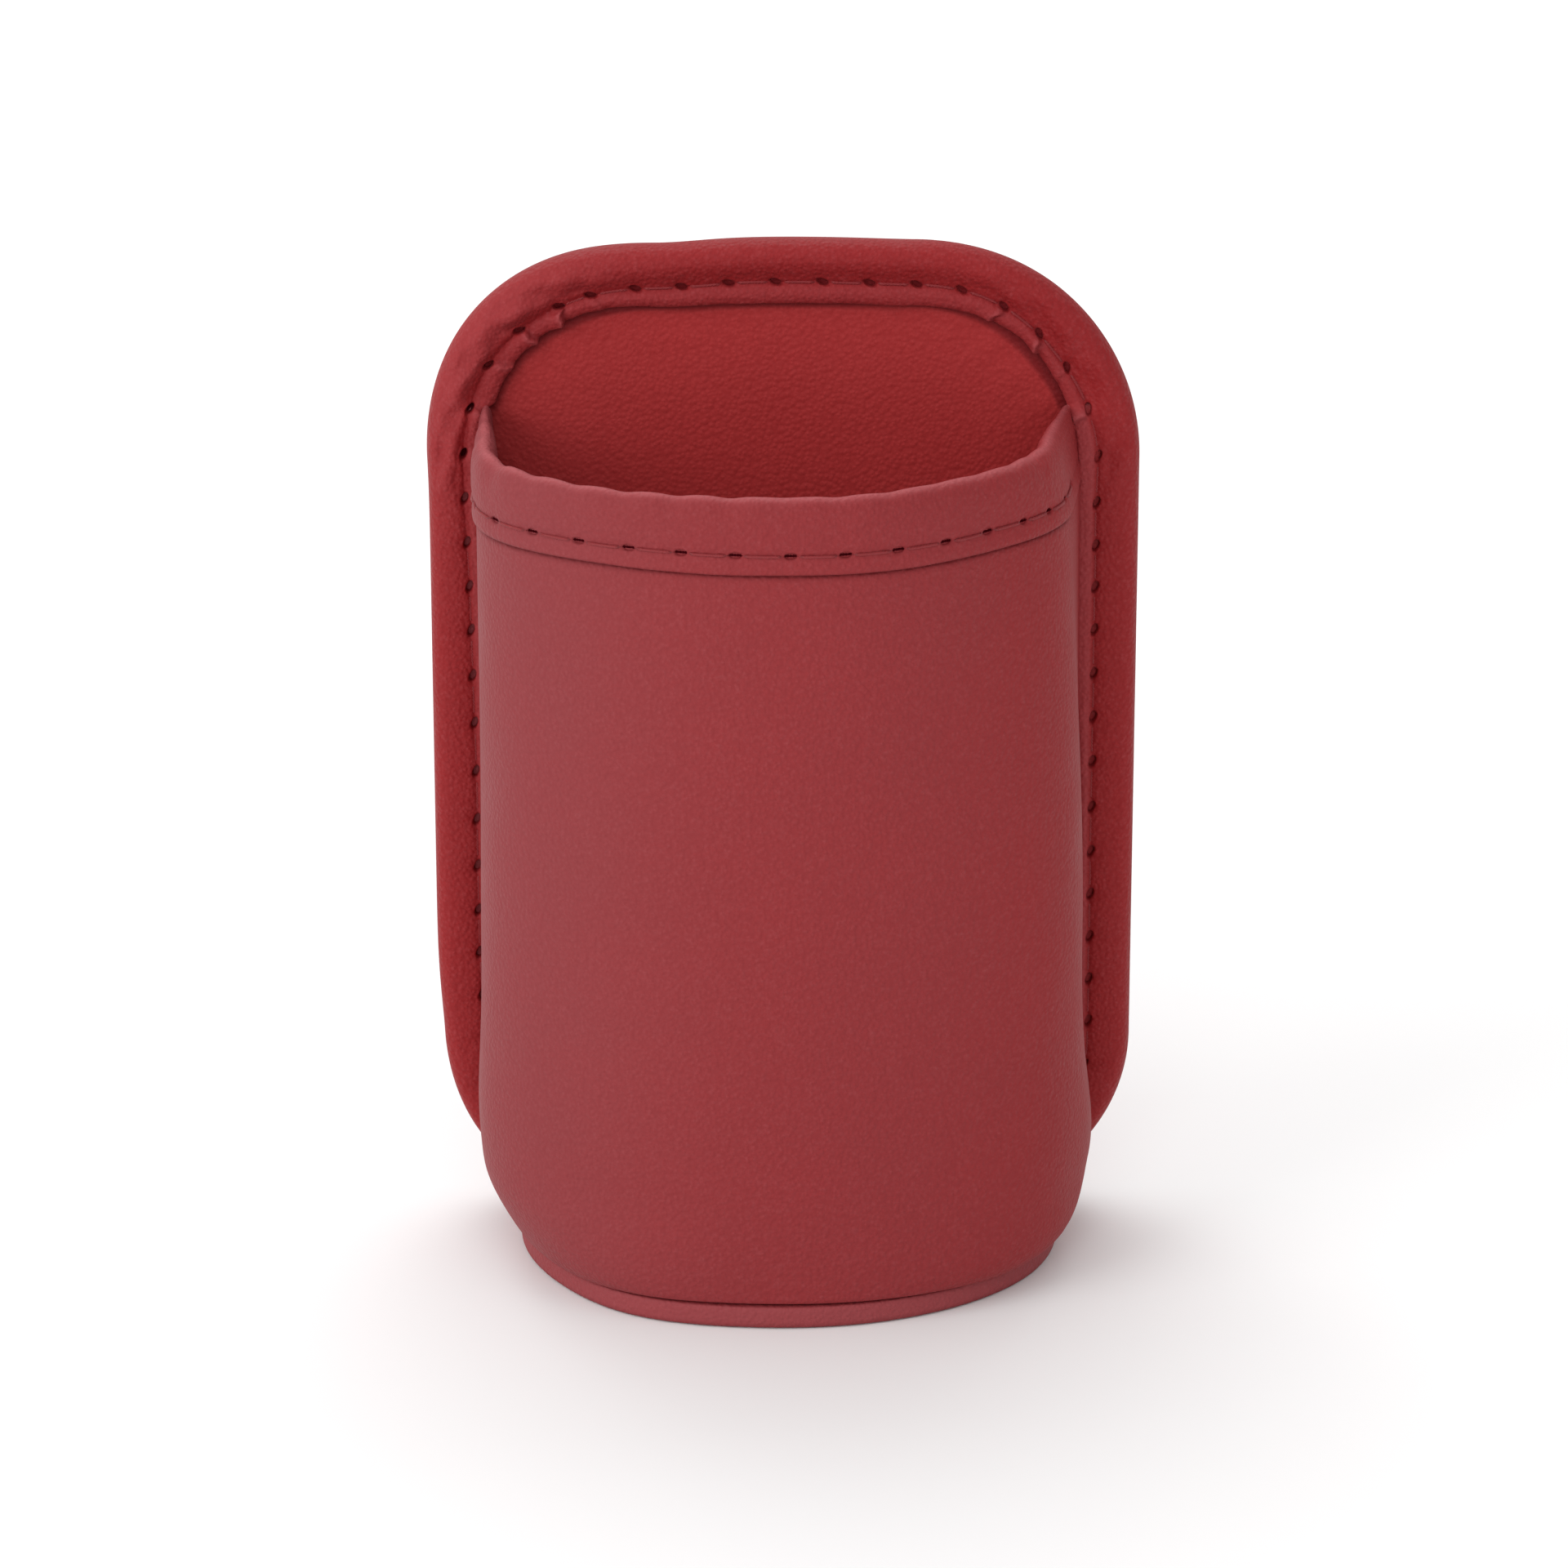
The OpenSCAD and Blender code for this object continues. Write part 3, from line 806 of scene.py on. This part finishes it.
def make_back_lining():
    """Crowned leather on the front of the board, dented by the stitches at its top corners."""
    s = all_round(620)
    shares = np.concatenate([np.linspace(0, 0.2, 18), np.linspace(0.2, 1, 26)[1:]])
    edge, middle = (panel_ring(s, CORE_INSET, 0, share) for share in (0, 1))
    inset = np.linalg.norm(edge - middle, axis=1)
    off, _ = near_hole(s)
    front, rear, shade = [], [], []
    for share in shares:
        depth = share * inset
        crown = 0.88 + 0.36 * step(3.4, 15.0, depth)
        dents = corner_weight(s) * bell(off + 0.15 * depth, 1.5) * bell(depth - 4.5, 2.6)
        crown = crown - 0.10 * dents * step(0, 3, depth)
        front.append(panel_ring(s, CORE_INSET, crown, share))
        rear.append(panel_ring(s, CORE_INSET, BOARD_W, share))
        # Under the strip's free edge it lies in a gap, darkened there with painted shade
        shade.append(1 - 0.70 * (1 - step(3.1, 3.6, depth)) * above_rim(s))
    grid = np.array(front[::-1] + rear)
    looks = {
        "shade": shade[::-1] + [np.ones_like(s)] * len(rear),
        # Painted light at its upper left, beside the left end of the rim
        "painted_light": 0.22 * bell(grid[..., 0] + 26, 9) * bell(grid[..., 2] - 84, 10),
    }
    return ring_piece("back_lining_leather", grid, LINING, **looks)


# ---- hidden pads and core


def make_roll_filler():
    """Foam cord inside the rolled edge."""
    s = all_round(420)
    section = [(3.5, -2.2), (2.1, -2.1), (1.25, -1.6), (0.85, -0.6), (0.8, 0.5), (1.05, 1.3)]
    section += [(1.6, 1.86), (2.3, 1.92), (3.0, 1.6), (3.5, 1.1), (3.58, 0.4), (3.58, -1.2)]
    section += section[:1]
    rows = []
    for n, (u, w) in enumerate(smooth_line(section, 4)[:-1]):
        soft = 0.05 * wander(s, 11.0, n * 0.3)
        rows.append(panel_point(s, u + soft * (u < 3.3), w * (1 + soft)))
    return ring_piece("edge_roll_foam", rows, FOAM, close_rows=True)


def make_back_foam():
    """Thin pad with soft edges behind the board."""
    low, high = node_size("back_foam")
    front_w, rear_w = ROLL_Y - low[1], ROLL_Y - high[1]
    s = all_round(300)
    edge = smooth_line([(0.0, 0.5), (0.06, 0.8), (0.3, 0.97), (1.0, 1.0)], 4)
    sides = []
    for w, other_w, wave in ((front_w, rear_w, 0.03), (rear_w, front_w, -0.03)):
        side = [panel_point(s, CORE_INSET + u, mix(other_w, w, t)) for u, t in edge]
        for share in np.linspace(0.05, 1, 16):
            soft = wave * wander(s, 37.0, 1.1) * (1 - share)
            side.append(panel_ring(s, CORE_INSET + 1.0, w + soft, share))
        sides.append(side)
    rows = sides[0][::-1] + sides[1][1:]
    return ring_piece("back_foam_pad", rows, FOAM)


# ---- pocket: its outline


def bow_arc(half, depth, side_r):
    """Depth of the wide arc's centre behind the bow, and the angle of the tight arc."""
    back = ((half - side_r) ** 2 - (depth - side_r) ** 2) / (2 * (depth - side_r))
    return back, np.arctan2(back, half - side_r)


def bow(s, half, depth, side_r, end_y, fillet, grow):
    """Point in plan at a distance s from the front's middle along a bowed outline.

    Past the straight side the outline turns outwards through a fillet into a flange.
    grow moves the point outwards.
    """
    side, a = np.sign(s) + (s == 0), np.abs(s)
    line_y = FRONT_Y + depth
    back, turn = bow_arc(half, depth, side_r)
    wide_r = back + depth
    run1 = wide_r * (np.pi / 2 - turn)
    run2 = run1 + side_r * turn
    run3 = run2 + end_y - fillet - line_y
    run4 = run3 + fillet * np.pi / 2
    wide = np.minimum(a, run1) / wide_r
    angle = wide + np.clip(a - run1, 0, run2 - run1) / side_r
    nx, ny = np.sin(angle), -np.cos(angle)
    x = np.where(a <= run1, wide_r * np.sin(wide), half - side_r + side_r * nx)
    y = np.where(a <= run1, line_y + back - wide_r * np.cos(wide), line_y + side_r * ny)
    y = y + np.clip(a - run2, 0, run3 - run2)
    bend = np.clip(a - run3, 0, run4 - run3) / np.maximum(fillet, 1e-6)
    x = x + fillet * (1 - np.cos(bend)) + np.maximum(a - run4, 0)
    y = y + fillet * np.sin(bend)
    nx = np.where(a > run3, np.cos(bend), nx)
    ny = np.where(a > run3, -np.sin(bend), ny)
    return side * (x + grow * nx), y + grow * ny, side * nx, ny


def bow_run(half, depth, side_r, end_y, fillet):
    """Distance from the front's middle to the end of the straight side, and past the fillet."""
    back, turn = bow_arc(half, depth, side_r)
    arcs = (back + depth) * (np.pi / 2 - turn) + side_r * turn
    wall = arcs + end_y - fillet - (FRONT_Y + depth)
    return wall, wall + fillet * np.pi / 2


FILLET = 0.55
FLANGE_Y = ROLL_Y - 1.70  # front face of the panel's flange under the strip
LOW_FLANGE_Y = ROLL_Y - ROLL_HALF - 0.12  # where the side stands on the roll near the foot
WALL_SHARE = 0.9  # the rest of an outline's half is its fillet and flange
DRAW_TOP = 12.6  # below this height the pocket draws in to its foot
DRAW_REACH = 0.97  # how much of a quarter circle it draws in by
DRAWN_FULL = 0.757  # how far a quarter circle has come in there
FOOT_DEPTH = 21.0
FOOT_R = 18.0
# Where the pocket is out of true: middle, width and size along its outline or its height
RIM_PUSH = (30, 14.5, 3.7)
END_PUSH = (47, 11, 1.5)
FOOT_FULL = (-17, 10, 1.3)
RIM_FULL = ((-0.33, 0.15, 0.75), (0.43, 0.09, 0.5))
RIGHT_WALL = ((12, 6, 0.9), (62, 20, -0.3))
LEFT_WALL = (32, 20, 0.45)


def pocket_painted_sheen(f):
    """Painted sheen on the pocket: a pale veil of reflected light, more than on the roll, most on
    the left and least on the right.
    """
    return 0.22 + 0.24 * step(0.0, -0.6, f) - 0.14 * step(0.2, 0.7, f)


def belly(z):
    """How much the pocket swells sideways low down."""
    return 0.75 * bell(z - 17.0, 9.0)


def drawn_in(t):
    """How far a quarter circle has come in after a share t of its height."""
    return 1 - np.sqrt(1 - np.minimum(t, DRAW_REACH) ** 2)


def pocket_plan(z):
    """Half width, bow depth and side radius of the pocket's outline at a height."""
    draw = drawn_in(np.clip((DRAW_TOP - z) / (DRAW_TOP - FOOT_Z), 0, 1))
    half = POCKET_HALF + belly(z) - (POCKET_HALF - FOOT_HALF + belly(FOOT_Z)) * draw / DRAWN_FULL
    share = step(2 * DRAW_TOP, FOOT_Z, z)
    return half, mix(BOW_D, FOOT_DEPTH, share), mix(BOW_R, FOOT_R, share)


def pocket_point(f, z, grow, flange=FLANGE, end_shift=0.0, fillet=FILLET):
    """Point of the pocket at a share f along its outline, from -1 to 1, at a height.

    Where the pocket leans and its right front corner is pushed in near the rim, so does
    every layer.
    """
    f, z, grow = (part.astype(float) for part in np.broadcast_arrays(f, z, grow))
    half, depth, side_r = pocket_plan(z)
    end_y = mix(LOW_FLANGE_Y, FLANGE_Y, step(8.0, 15.0, z)) + end_shift
    wall, bent = bow_run(half, depth, side_r, end_y, fillet)
    reach = bent + mix(0.15, flange, step(9.0, 19.0, z))
    a = np.abs(f)
    past_wall = mix(wall, reach, (a - WALL_SHARE) / (1 - WALL_SHARE))
    s = np.where(a < WALL_SHARE, wall * a / WALL_SHARE, past_wall) * np.sign(f)
    # The wall is squeezed thinner towards the two ends of the rim
    thin = 1 - 0.45 * step(0.70, 0.90, a) * step(70.0, 88.0, z)
    x, y, nx, ny = bow(s, half, depth, side_r, end_y, fillet, grow * thin)
    lift = np.clip((z - 38.0) / 50.0, 0, 1.1) ** 1.6
    push = swells(s, RIM_PUSH) * lift + swells(s, END_PUSH) * step(80, 90, z)
    push = push * step(0.0, 0.25, f)
    lean = -0.25 * step(45, 90, z) * (1 - a**8) + 0.9 * step(11, 4, z)
    held = 1 - 0.55 * step(0.9, 1.0, f)
    full = swells(s, FOOT_FULL) * step(14, 4, z) + swells(f, *RIM_FULL) * step(84, 90, z)
    full = full + swells(z, *RIGHT_WALL) * step(34, 46, s)
    full = full + swells(z, LEFT_WALL) * step(-20, -36, s)
    full = full * (1 - step(0.86, 0.92, a))
    x = x + (full - push * held) * nx + lean
    y = y + (full - push * (1 - step(0.86, 0.92, f))) * ny
    # Soft unevenness of the leather over the card
    ripple = 0.10 * np.sin(z / 13.0 + x / 10.0) * bell(a - 0.35, 0.5) * (a < WALL_SHARE)
    return np.stack([x + nx * ripple, y + ny * ripple, z], axis=-1)


def with_tails(wall, count):
    """Adds shares round the fillets and flanges to the shares along the wall."""
    tail = np.linspace(WALL_SHARE, 1.0, count)[1:]
    return np.concatenate([-tail[::-1], wall, tail])


def outline_shares(count):
    """Shares along the pocket's outline, from flange to flange."""
    return with_tails(np.linspace(-WALL_SHARE, WALL_SHARE, count), 9)


def slab(outer, inner, heights):
    """Section of a plain layer, up its outer face and down its inner one."""
    return [(outer, z) for z in heights] + [(inner, z) for z in heights[::-1]]


def sweep_pocket(name, section, columns, place, material, **looks):
    """Closed piece whose section is a loop of rows, swept along the pocket with end caps.

    place and the looks work out a row from its number and its (grow, z) in the section.
    """
    rows, cols = len(section), len(columns)

    def swept(work_out):
        return np.array([work_out(n, *point) for n, point in enumerate(section)])

    faces = grid_faces(rows, cols, close_rows=True).tolist()
    faces.append([n * cols for n in range(rows)])
    faces.append([n * cols + cols - 1 for n in reversed(range(rows))])
    tones = {label: swept(look) for label, look in looks.items()}
    return make_piece(name, swept(place), faces, material, **tones)


# ---- pocket: outer leather


def make_front_panel():
    """Leather of the pocket, from under the binding down to the hem under the foot."""
    f = outline_shares(300)
    head = [(-0.28, 88.9), (-0.22, 87.5), (-0.22, 84.0), (-0.20, 82.6), (-0.16, 82.05)]
    head += [(-0.02, 81.7), (0.0, 80.9)]
    wall = [(0.0, z) for z in (*np.linspace(79, 15, 40), *np.linspace(14, 5, 24))]
    hem = [(0.0, 4.2), (-0.01, 3.6), (-0.05, 3.12), (-0.18, 2.84), (-0.44, 2.68), (-0.9, 2.60)]
    hem += [(-2.2, 2.58), (-6.0, 2.58), (-6.15, 2.82), (-6.0, 3.02), (-2.0, 3.06), (-1.1, 3.2)]
    hem += [(-0.78, 3.6), (-0.7, 4.4)]
    inner = [(-0.7, z) for z in np.linspace(6, 88.0, 20)] + [(-0.66, 88.8), (-0.48, 89.0)]
    section = smooth_line(head, 3).tolist() + wall + smooth_line(hem, 3).tolist() + inner
    tuck = 1 - 0.93 * step(0.70, 0.90, np.abs(f))

    def place(n, grow, z):
        # The hem is short at the two ends
        return pocket_point(f, z, max(grow, -1.0) + min(grow + 1.0, 0.0) * tuck)

    def shade(n, grow, z):
        # Painted shade: a dark line under the binding's lower edge, and on the hem's underside in
        # the gap above the base
        groove = 1 - 0.50 * bell(z - 82.0, 0.34) * (grow > -0.5)
        under = 1 - 0.40 * step(-0.12, -0.6, grow) * (z < 4)
        return np.full(len(f), groove * under)

    looks = {"shade": shade, "painted_sheen": lambda *_: pocket_painted_sheen(f)}
    return sweep_pocket("front_panel_leather", section, f, place, COVER, **looks)


def make_stiffener():
    """Card between the pocket's leather and its lining."""
    f = np.linspace(-0.885, 0.885, 160)
    heights = np.concatenate([np.linspace(3.3, 14, 12), np.linspace(16, 88.9, 26)])

    def place(n, grow, z):
        return pocket_point(f, z, grow)

    section = slab(-0.72, -1.18, heights)
    return sweep_pocket("front_stiffener_card", section, f, place, CARD)


def make_front_lining():
    """Thin leather inside the pocket; its flange lies behind the panel's."""
    f = outline_shares(220)
    heights = np.concatenate([np.linspace(3.2, 14, 14), np.linspace(15, 88.9, 40)])
    behind = ROLL_Y - 2.4 - FLANGE_Y

    def place(n, grow, z):
        soft = 0.05 * wander(f * 50 + z * 0.4, 17.0, 0.2) if grow < -1.5 else 0.0
        return pocket_point(f, z, grow + soft, flange=1.6, end_shift=behind, fillet=0.06)

    section = slab(-1.22, -1.70, heights)
    return sweep_pocket("front_lining_leather", section, f, place, LINING)


# ---- pocket: rim binding

# Section of the binding as (outward, height): outer face, inner face and the leather's
# other side, which lies on the panel and the lining
BAND = [(0.02, 82.18), (0.26, 82.16), (0.40, 82.36), (0.46, 82.9), (0.42, 83.6), (0.33, 84.2)]
BAND += [(0.41, 84.75), (0.50, 85.6), (0.52, 86.8), (0.49, 87.8), (0.34, 88.75), (-0.02, 89.5)]
BAND += [(-0.50, 89.9), (-0.95, 90.0)]
BAND_IN = [(-1.45, 89.84), (-1.88, 89.3), (-2.12, 88.4), (-2.2, 87.0), (-2.2, 84.9)]
BAND_IN += [(-2.12, 84.2), (-2.2, 83.6), (-2.17, 82.5), (-2.05, 82.22), (-1.80, 82.24)]
BAND_UNDER = [(-1.73, 83.0), (-1.73, 88.2), (-1.40, 89.0), (-0.95, 89.25), (-0.45, 89.0)]
BAND_UNDER += [(-0.06, 88.2), (-0.02, 83.0)]
BAND_FACE, BAND_BACK = 0.33, -2.12  # its two faces at the seam
THREAD_PROUD = 0.06  # how far the thread's middle stands off them


def rim_shares():
    """Shares along the rim, the length of its wall, and how many holes it has each side.

    The shares are close together at the holes.
    """
    wall, _ = bow_run(*pocket_plan(RIM_SEAM_Z), FLANGE_Y, FILLET)
    count = int(wall // RIM_PITCH)
    parts = [np.linspace(-wall, -count * RIM_PITCH + RIM_PHASE, 16, endpoint=False)]
    for k in range(-count, count):
        t = np.linspace(0, 1, 30, endpoint=False)
        parts.append((k + close_at_ends(t)) * RIM_PITCH + RIM_PHASE)
    parts.append(np.linspace(count * RIM_PITCH + RIM_PHASE, wall, 17))
    return with_tails(np.concatenate(parts) / wall * WALL_SHARE, 10), wall, count


def make_rim_binding():
    """Strip of leather folded over the rim and stitched through."""
    f, wall, count = rim_shares()
    s = f / WALL_SHARE * wall
    k = np.round((s - RIM_PHASE) / RIM_PITCH)
    off = s - RIM_PHASE - k * RIM_PITCH
    on_wall = np.abs(k) <= count - 1
    section = smooth_line(BAND + BAND_IN + BAND_UNDER, PER)[:-1].tolist()
    outer_rows = len(BAND) * PER
    inner_rows = (len(BAND) + len(BAND_IN)) * PER
    # The rim is pulled down at each stitch and stands up between them
    gather = (0.5 + 0.5 * np.cos(2 * np.pi * (s - 0.2) / RIM_PITCH)) ** 1.5
    gather = gather * (0.85 + 0.45 * uneven(k, 6)) * mix(0.45, 1.15, step(15, -30, s))
    gather = gather * step(0.93, 0.8, np.abs(f))

    def relief(n, z):
        """Outward shift of the two faces, and their stitch holes."""
        facing = 1 if n < outer_rows else -1 if n < inner_rows else 0
        hole = pit(off, z - RIM_SEAM_Z, 0.66, 0.33) * on_wall
        pucker = 0.12 * (1 + 0.3 * uneven(k, 8)) * bell(off, 1.1) * bell(z - RIM_SEAM_Z, 0.8)
        soft = 0.07 * wander(s, 15.0, 0.9) * bell(z - 86.3, 1.5)
        return (soft - pucker * on_wall - 0.50 * hole) * facing, hole * (facing != 0)

    def place(n, grow, z):
        out, _ = relief(n, z)
        top = gather * step(84.8, 89.5, z)
        height = z - 0.30 * top + 0.06 * wander(s, 31.0, 0.5) * (z < 83.2)
        # The inner face ends with the wall
        end = mix(1.0, 0.905, step(-0.6, -1.8, grow))
        grow = grow + out - 0.13 * top * (n < outer_rows)
        return pocket_point(np.clip(f, -end, end), height, grow, flange=1.0)

    def shade(n, grow, z):
        # Painted shade in the stitch holes, along the binding's lower edge and along the thread
        # line
        _, hole = relief(n, z)
        edge = 1 - 0.35 * bell(z - 82.16, 0.16) * (grow > 0)
        thread_line = 1 - 0.14 * bell(z - RIM_SEAM_Z, 0.22) * (n < inner_rows)
        return (1 - 0.97 * hole) * edge * thread_line

    def painted_light(n, grow, z):
        # Painted highlight along the rim's rounded top, a little fainter where it is pulled down
        crest = bell(np.hypot(grow + 0.75, z - 89.95), 0.55) * (n < inner_rows)
        return 0.75 * crest * (0.7 + 0.3 * (1 - gather))

    looks = {"shade": shade, "painted_light": painted_light, "painted_sheen": lambda *_: pocket_painted_sheen(f)}
    return sweep_pocket("rim_binding_leather", section, f, place, COVER, **looks)


def rim_stitches(inside):
    """Paths of the rim's stitches, on its inner or its outer face."""
    _, wall, count = rim_shares()
    t = np.linspace(0, 1, 21)
    if inside:
        out = BAND_BACK - THREAD_PROUD + stitch_drop(t, 0.40)
    else:
        dip = 0.05 * bell(np.minimum(t, 1 - t), 0.2)
        out = BAND_FACE + THREAD_PROUD - stitch_drop(t, 0.42) - dip
    paths = []
    for k in range(-(count - 1), count - 1):
        s = (k + t) * RIM_PITCH + RIM_PHASE
        z = RIM_SEAM_Z + 0.05 * np.sin(np.pi * t) * uneven(k, 9)
        paths.append(pocket_point(s / wall * WALL_SHARE, z, out))
    return paths


# ---- base

BASE_SHIFT, BASE_SHIFT_LEFT = 0.8, 0.25  # how far right the base sits, and its left end
BASE_HALF = FOOT_HALF + 0.1
BASE_DEPTH = 25.0
BASE_R = 22.0
BASE_CORNER = 1.2
BASE_SPOTS = ((-17, 10, 1.35), (24, 11, 0.3))  # where its front is fuller
BASE_MIDDLE = np.array([0.0, -2.0])
BASE_EVEN = 1.15  # up to this inset the outline keeps its shape
BASE_CLOSED = -FOOT_HALF - BASE_EVEN  # here it has shrunk to a point


def base_outline(grow, count=240):
    """Closed plan outline of the base, from its rear left corner round the front."""
    plan = (BASE_HALF, BASE_DEPTH, BASE_R, BASE_REAR - BASE_CORNER, 0.0)
    run, _ = bow_run(*plan)
    s = np.linspace(-run, run, count)
    x, y, _, _ = bow(s, *plan, grow + swells(s, *BASE_SPOTS))
    a = np.linspace(0, np.pi / 2, 9)[1:]
    r = BASE_CORNER + grow
    cx, cy = BASE_HALF - BASE_CORNER, BASE_REAR - BASE_CORNER
    right = np.stack([cx + r * np.cos(a), cy + r * np.sin(a)], axis=1)
    back = np.linspace(cx, -cx, 60)[1:-1]
    rear = np.stack([back, np.full_like(back, cy + r)], axis=1)
    left = right[::-1] * [-1, 1]
    return np.vstack([np.stack([x, y], axis=1), right, rear, left])


def base_rows(section, shifted=True):
    """Rows of points for a section of (grow, z) round the base's outline."""
    rows = []
    for grow, z in section:
        shrink = 1 + min(grow + BASE_EVEN, 0) / FOOT_HALF
        plan = mix(BASE_MIDDLE, base_outline(max(grow, -BASE_EVEN)), shrink)
        shift = mix(BASE_SHIFT_LEFT, BASE_SHIFT, step(-24, 4, plan[:, 0])) * shifted
        rows.append(np.column_stack([plan[:, 0] + shift, plan[:, 1], np.full(len(plan), z)]))
    return np.array(rows)


def make_base_cover():
    """Leather under the foot, turned up round the board and in over its edge."""
    bottom = [(BASE_CLOSED, 0.0)] + [(-inset, 0.0) for inset in (24, 18, 12, 7, 3.5)]
    turn = [(-1.6, 0.0), (-0.55, 0.03), (-0.16, 0.2), (-0.02, 0.6), (0.0, 1.2), (-0.01, 1.85)]
    lip = [(-0.06, 2.20), (-0.20, 2.42), (-0.50, 2.54), (-1.1, 2.56), (-1.14, 2.50), (-1.05, 2.44)]
    # The lip's last point only guides its curve
    edge = np.vstack([smooth_line(turn, 4), smooth_line(lip, 4)[:-4]]).tolist()
    hem = [(-3.6, 2.52), (-4.0, 2.47), (-3.6, 2.42), (-1.1, 2.41), (-0.72, 2.38), (-0.71, 1.4)]
    inside = [(-0.72, 0.72), (-1.6, 0.7), (-7, 0.7), (-15, 0.7), (BASE_CLOSED, 0.7)]
    section = bottom + edge + hem + inside
    grid = base_rows(section)
    grow, z = np.array(section).T[:, :, None] + np.zeros(grid.shape[1])
    # Painted shade on the lip, in the gap under the panel's hem; painted light on the turned-up
    # side; painted sheen all over
    looks = {
        "shade": 1 - 0.40 * step(2.36, 2.48, z),
        "painted_light": 0.30 * step(0.2, 0.8, z) * step(2.44, 2.25, z) * (grow > -1),
        "painted_sheen": np.full_like(z, 0.40),
    }
    return ring_piece("base_cover_leather", grid, COVER, **looks)


def make_base_lining():
    """Leather laid on the base board inside the cup."""
    low, high = (corner[2] for corner in node_size("base_lining"))
    edge = smooth_line([(0.0, 0.5), (-0.05, 0.85), (-0.3, 1.0), (-1.0, 1.0)], 3)
    sides = []
    for start, end in ((low, high), (high, low)):
        side = [(grow - BASE_LINING_INSET, mix(start, end, t)) for grow, t in edge]
        side += [(-BASE_LINING_INSET - inset, end) for inset in (6, 12, 18, 24)]
        sides.append(side + [(BASE_CLOSED, end)])
    grid = base_rows(sides[0][::-1] + sides[1][1:], shifted=False)
    return ring_piece("base_lining_leather", grid, LINING)


# ---- the pieces

pieces = {
    "back_cover": make_back_cover(),
    "back_lining": make_back_lining(),
    "edge_roll_filler": make_roll_filler(),
    "back_foam": make_back_foam(),
    "front_panel": make_front_panel(),
    "front_stiffener": make_stiffener(),
    "front_lining": make_front_lining(),
    "rim_binding": make_rim_binding(),
    "base_cover": make_base_cover(),
    "base_lining": make_base_lining(),
}
for node, piece in pieces.items():
    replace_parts(piece, node)

for name, paths in (
    ("panel_needle_thread", panel_stitches(False)),
    ("panel_bobbin_thread", panel_stitches(True)),
    ("rim_needle_thread", rim_stitches(False)),
    ("rim_bobbin_thread", rim_stitches(True)),
):
    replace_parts(make_thread(name + "_twist", paths), name)


# ---- material of the two boards


for node in ("back_board", "base_board"):
    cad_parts[node].data.materials.clear()
    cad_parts[node].data.materials.append(BOARD)


# ---- floor and studio

# In metres
FLOOR_HALF = 6.0
FLOOR_DROP = 0.00005
FADE_START, FADE_END = 0.9, 3.0
# Name, place and size in metres, and power in watts of each light
LIGHTS = (
    ("key", (-0.90, -0.62, 0.58), (0.7, 0.7), 4.3),
    ("front", (0.05, -1.05, 0.80), (0.8, 0.5), 2.2),
    ("top", (-0.1, 0.70, 1.05), (1.0, 1.0), 6.0),
)
ROOM_LEFT, ROOM_RIGHT = 0.95, 0.57  # the room is brighter on the left
CAMERA_TILT = math.radians(20)  # above the horizon, straight in front
# In millimetres
CAMERA_TARGET = np.array([0.0, 13.05, 48.6])
CAMERA_DISTANCE = 715.0
CAMERA_LENS, CAMERA_SENSOR = 155.6, 36.0


def make_floor():
    """Pale floor that fades into the room, so no horizon shows behind the object."""
    mesh = bpy.data.meshes.new("floor")
    r = FLOOR_HALF
    mesh.from_pydata([(-r, -r, 0), (r, -r, 0), (r, r, 0), (-r, r, 0)], [], [(0, 1, 2, 3)])
    m = material_nodes("floor")
    distance = m.add("VectorMath")
    distance.operation = "LENGTH"
    put(m.place, distance.inputs[0])
    fade = m.spread(distance.outputs["Value"], FADE_START, FADE_END, 1.0, 0.0)
    m.set(Base_Color=(0.93, 0.93, 0.93), Roughness=0.9, Specular_IOR_Level=0.1, Alpha=fade)
    mesh.materials.append(m.owner)
    floor = add_object("floor", mesh)
    floor.location = (0, 0, -FLOOR_DROP)


def make_light(name, place, size, power):
    """Large soft light that faces the object."""
    data = bpy.data.lights.new(name, "AREA")
    data.shape = "RECTANGLE"
    data.size, data.size_y = size
    data.energy = power
    light = add_object(name, data)
    light.location = place
    aim = Vector((0, 0, PANEL_H / 2 * MM)) - Vector(place)
    light.rotation_mode = "QUATERNION"
    light.rotation_quaternion = aim.to_track_quat("-Z", "Y")


def make_room():
    """White surroundings whose brightness changes from left to right."""
    world = bpy.data.worlds.new("studio")
    bpy.context.scene.world = world
    m = Nodes(world, "Background", "OutputWorld")
    direction = m.add("SeparateXYZ", Vector=m.add("TexCoord").outputs["Generated"])
    level = m.spread(direction.outputs["X"], -1.0, 1.0, ROOM_LEFT, ROOM_RIGHT)
    m.set(Color=(1, 1, 1), Strength=level)


def make_camera():
    """Long lens, looking down a little on the object's front."""
    back = np.array([0, -math.cos(CAMERA_TILT), math.sin(CAMERA_TILT)])
    data = bpy.data.cameras.new("camera")
    data.sensor_width = CAMERA_SENSOR
    data.lens = CAMERA_LENS
    data.clip_start = 0.05
    camera = add_object("camera", data)
    camera.location = (CAMERA_TARGET + CAMERA_DISTANCE * back) * MM
    camera.rotation_euler = (math.radians(90) - CAMERA_TILT, 0, 0)
    bpy.context.scene.camera = camera


make_floor()
make_room()
for light in LIGHTS:
    make_light(*light)
make_camera()
bpy.context.scene.view_settings.view_transform = "Standard"
